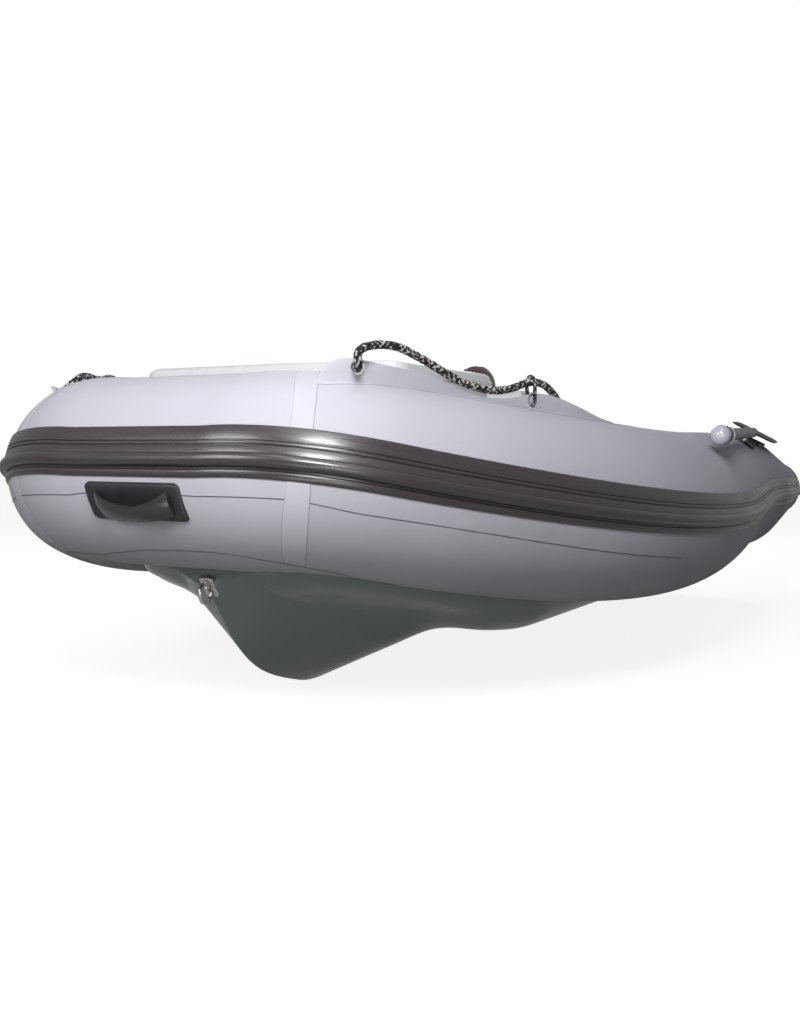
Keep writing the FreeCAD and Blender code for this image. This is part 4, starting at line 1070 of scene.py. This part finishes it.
def blade(body, sign, start, along, paints):
    """Blade with a spine that fades out towards the tip and a bevelled edge."""
    roll = math.radians(BLADE_ROLL)
    normal = Vector((0, sign * math.sin(roll), math.cos(roll)))
    across = normal.cross(along).normalized()
    normal = along.cross(across).normalized()
    rows = []
    for k in range(29):
        q = k / 28
        ends = min(min(q, 1 - q) * BLADE_LENGTH / BLADE_ROUND, 1.0)
        half = BLADE_WIDTH / 2 - BLADE_ROUND * (1 - math.sqrt(max(0.0, 1 - (1 - ends) ** 2)))
        upper = []
        under = []
        for j in range(21):
            s = -1 + 2 * j / 20
            spine = 0.0060 * max(0.0, 1 - abs(s * half) / 0.020) * (1 - q) ** 0.6
            edge = min(1.0, (1 - abs(s)) * half / 0.006)
            thick = 0.0012 + 0.0036 * edge + spine
            dish = 0.0012 * math.sin(math.pi * 6 * s) * (1 - abs(s)) * q
            middle = start + along * (BLADE_BASE + BLADE_LENGTH * q) + across * (s * half)
            upper.append(middle + normal * (thick / 2 + 0.0008 + dish))
            under.append(middle - normal * (thick / 2 + 0.0008 - dish))
        rows.append(upper + list(reversed(under)))
    grid(body + "_blade", rows, paints["black"], closed=True, caps=True, sharp=50.0, body=body,
         slot="oar_black")


def white_when_seen(tree, plain, seen, output):
    """plain lights the object, and seen is what the camera, metal and glass show."""
    path = tree.nodes.new("ShaderNodeLightPath")
    glossy = math_node(tree, "MULTIPLY", path.outputs["Is Glossy Ray"], GLOSSY_SHARE)
    share = math_node(tree, "MAXIMUM", path.outputs["Is Camera Ray"], glossy)
    share = math_node(tree, "MAXIMUM", share, path.outputs["Is Transmission Ray"])
    choose = tree.nodes.new("ShaderNodeMixShader")
    tree.links.new(share, choose.inputs["Fac"])
    tree.links.new(plain, choose.inputs[1])
    tree.links.new(seen, choose.inputs[2])
    tree.links.new(choose.outputs["Shader"], output)


def floor():
    """Pale floor just below the keel. It keeps the shadow and looks white."""
    material = bpy.data.materials.new("studio_floor")
    material.use_nodes = True
    tree = material.node_tree
    tree.nodes.remove(tree.nodes["Principled BSDF"])
    plain = tree.nodes.new("ShaderNodeBsdfDiffuse")
    plain.inputs["Color"].default_value = FLOOR_PLAIN
    shade = tree.nodes.new("ShaderNodeBsdfDiffuse")
    shade.inputs["Color"].default_value = FLOOR_SHADE
    glow = tree.nodes.new("ShaderNodeEmission")
    glow.inputs["Color"].default_value = WHITE
    glow.inputs["Strength"].default_value = FLOOR_GLOW
    seen = tree.nodes.new("ShaderNodeAddShader")
    tree.links.new(shade.outputs["BSDF"], seen.inputs[0])
    tree.links.new(glow.outputs["Emission"], seen.inputs[1])
    white_when_seen(tree, plain.outputs["BSDF"], seen.outputs["Shader"],
                    tree.nodes["Material Output"].inputs["Surface"])
    corners = [(a * FLOOR_REACH, b * FLOOR_REACH, FLOOR_Z)
               for a, b in ((-1, -1), (1, -1), (1, 1), (-1, 1))]
    mesh = bpy.data.meshes.new("floor")
    mesh.from_pydata(corners, [], [(0, 1, 2, 3)])
    mesh.materials.append(material)
    obj = bpy.data.objects.new("floor", mesh)
    bpy.context.scene.collection.objects.link(obj)


def lamp(name, place, aim, size, power):
    data = bpy.data.lights.new(name, "AREA")
    data.size = size
    data.energy = power
    obj = bpy.data.objects.new(name, data)
    obj.location = place
    obj.rotation_mode = "QUATERNION"
    obj.rotation_quaternion = (Vector(aim) - Vector(place)).to_track_quat("-Z", "Y")
    bpy.context.scene.collection.objects.link(obj)


def light():
    scene = bpy.context.scene
    scene.view_settings.view_transform = "Standard"
    world = bpy.data.worlds.new("studio")
    world.use_nodes = True
    scene.world = world
    tree = world.node_tree
    ground = tree.nodes["Background"]
    ground.inputs["Color"].default_value = AMBIENT
    ground.inputs["Strength"].default_value = AMBIENT_STRENGTH
    white = tree.nodes.new("ShaderNodeBackground")
    white.inputs["Color"].default_value = WHITE
    white_when_seen(tree, ground.outputs["Background"], white.outputs["Background"],
                    tree.nodes["World Output"].inputs["Surface"])
    for entry in LAMPS:
        lamp(*entry)


def main():
    camera()
    paints = finishes()
    lifelines(paints)
    dress_nodes(paints)
    tube_skin(paints)
    strake(paints)
    line_strips(paints)
    tube_details(paints)
    carry_handle(paints)
    locker_lid(paints)
    foot_tape(paints)
    bow_eye(paints)
    compass(paints)
    cushion(paints)
    oars(paints)
    floor()
    light()


main()
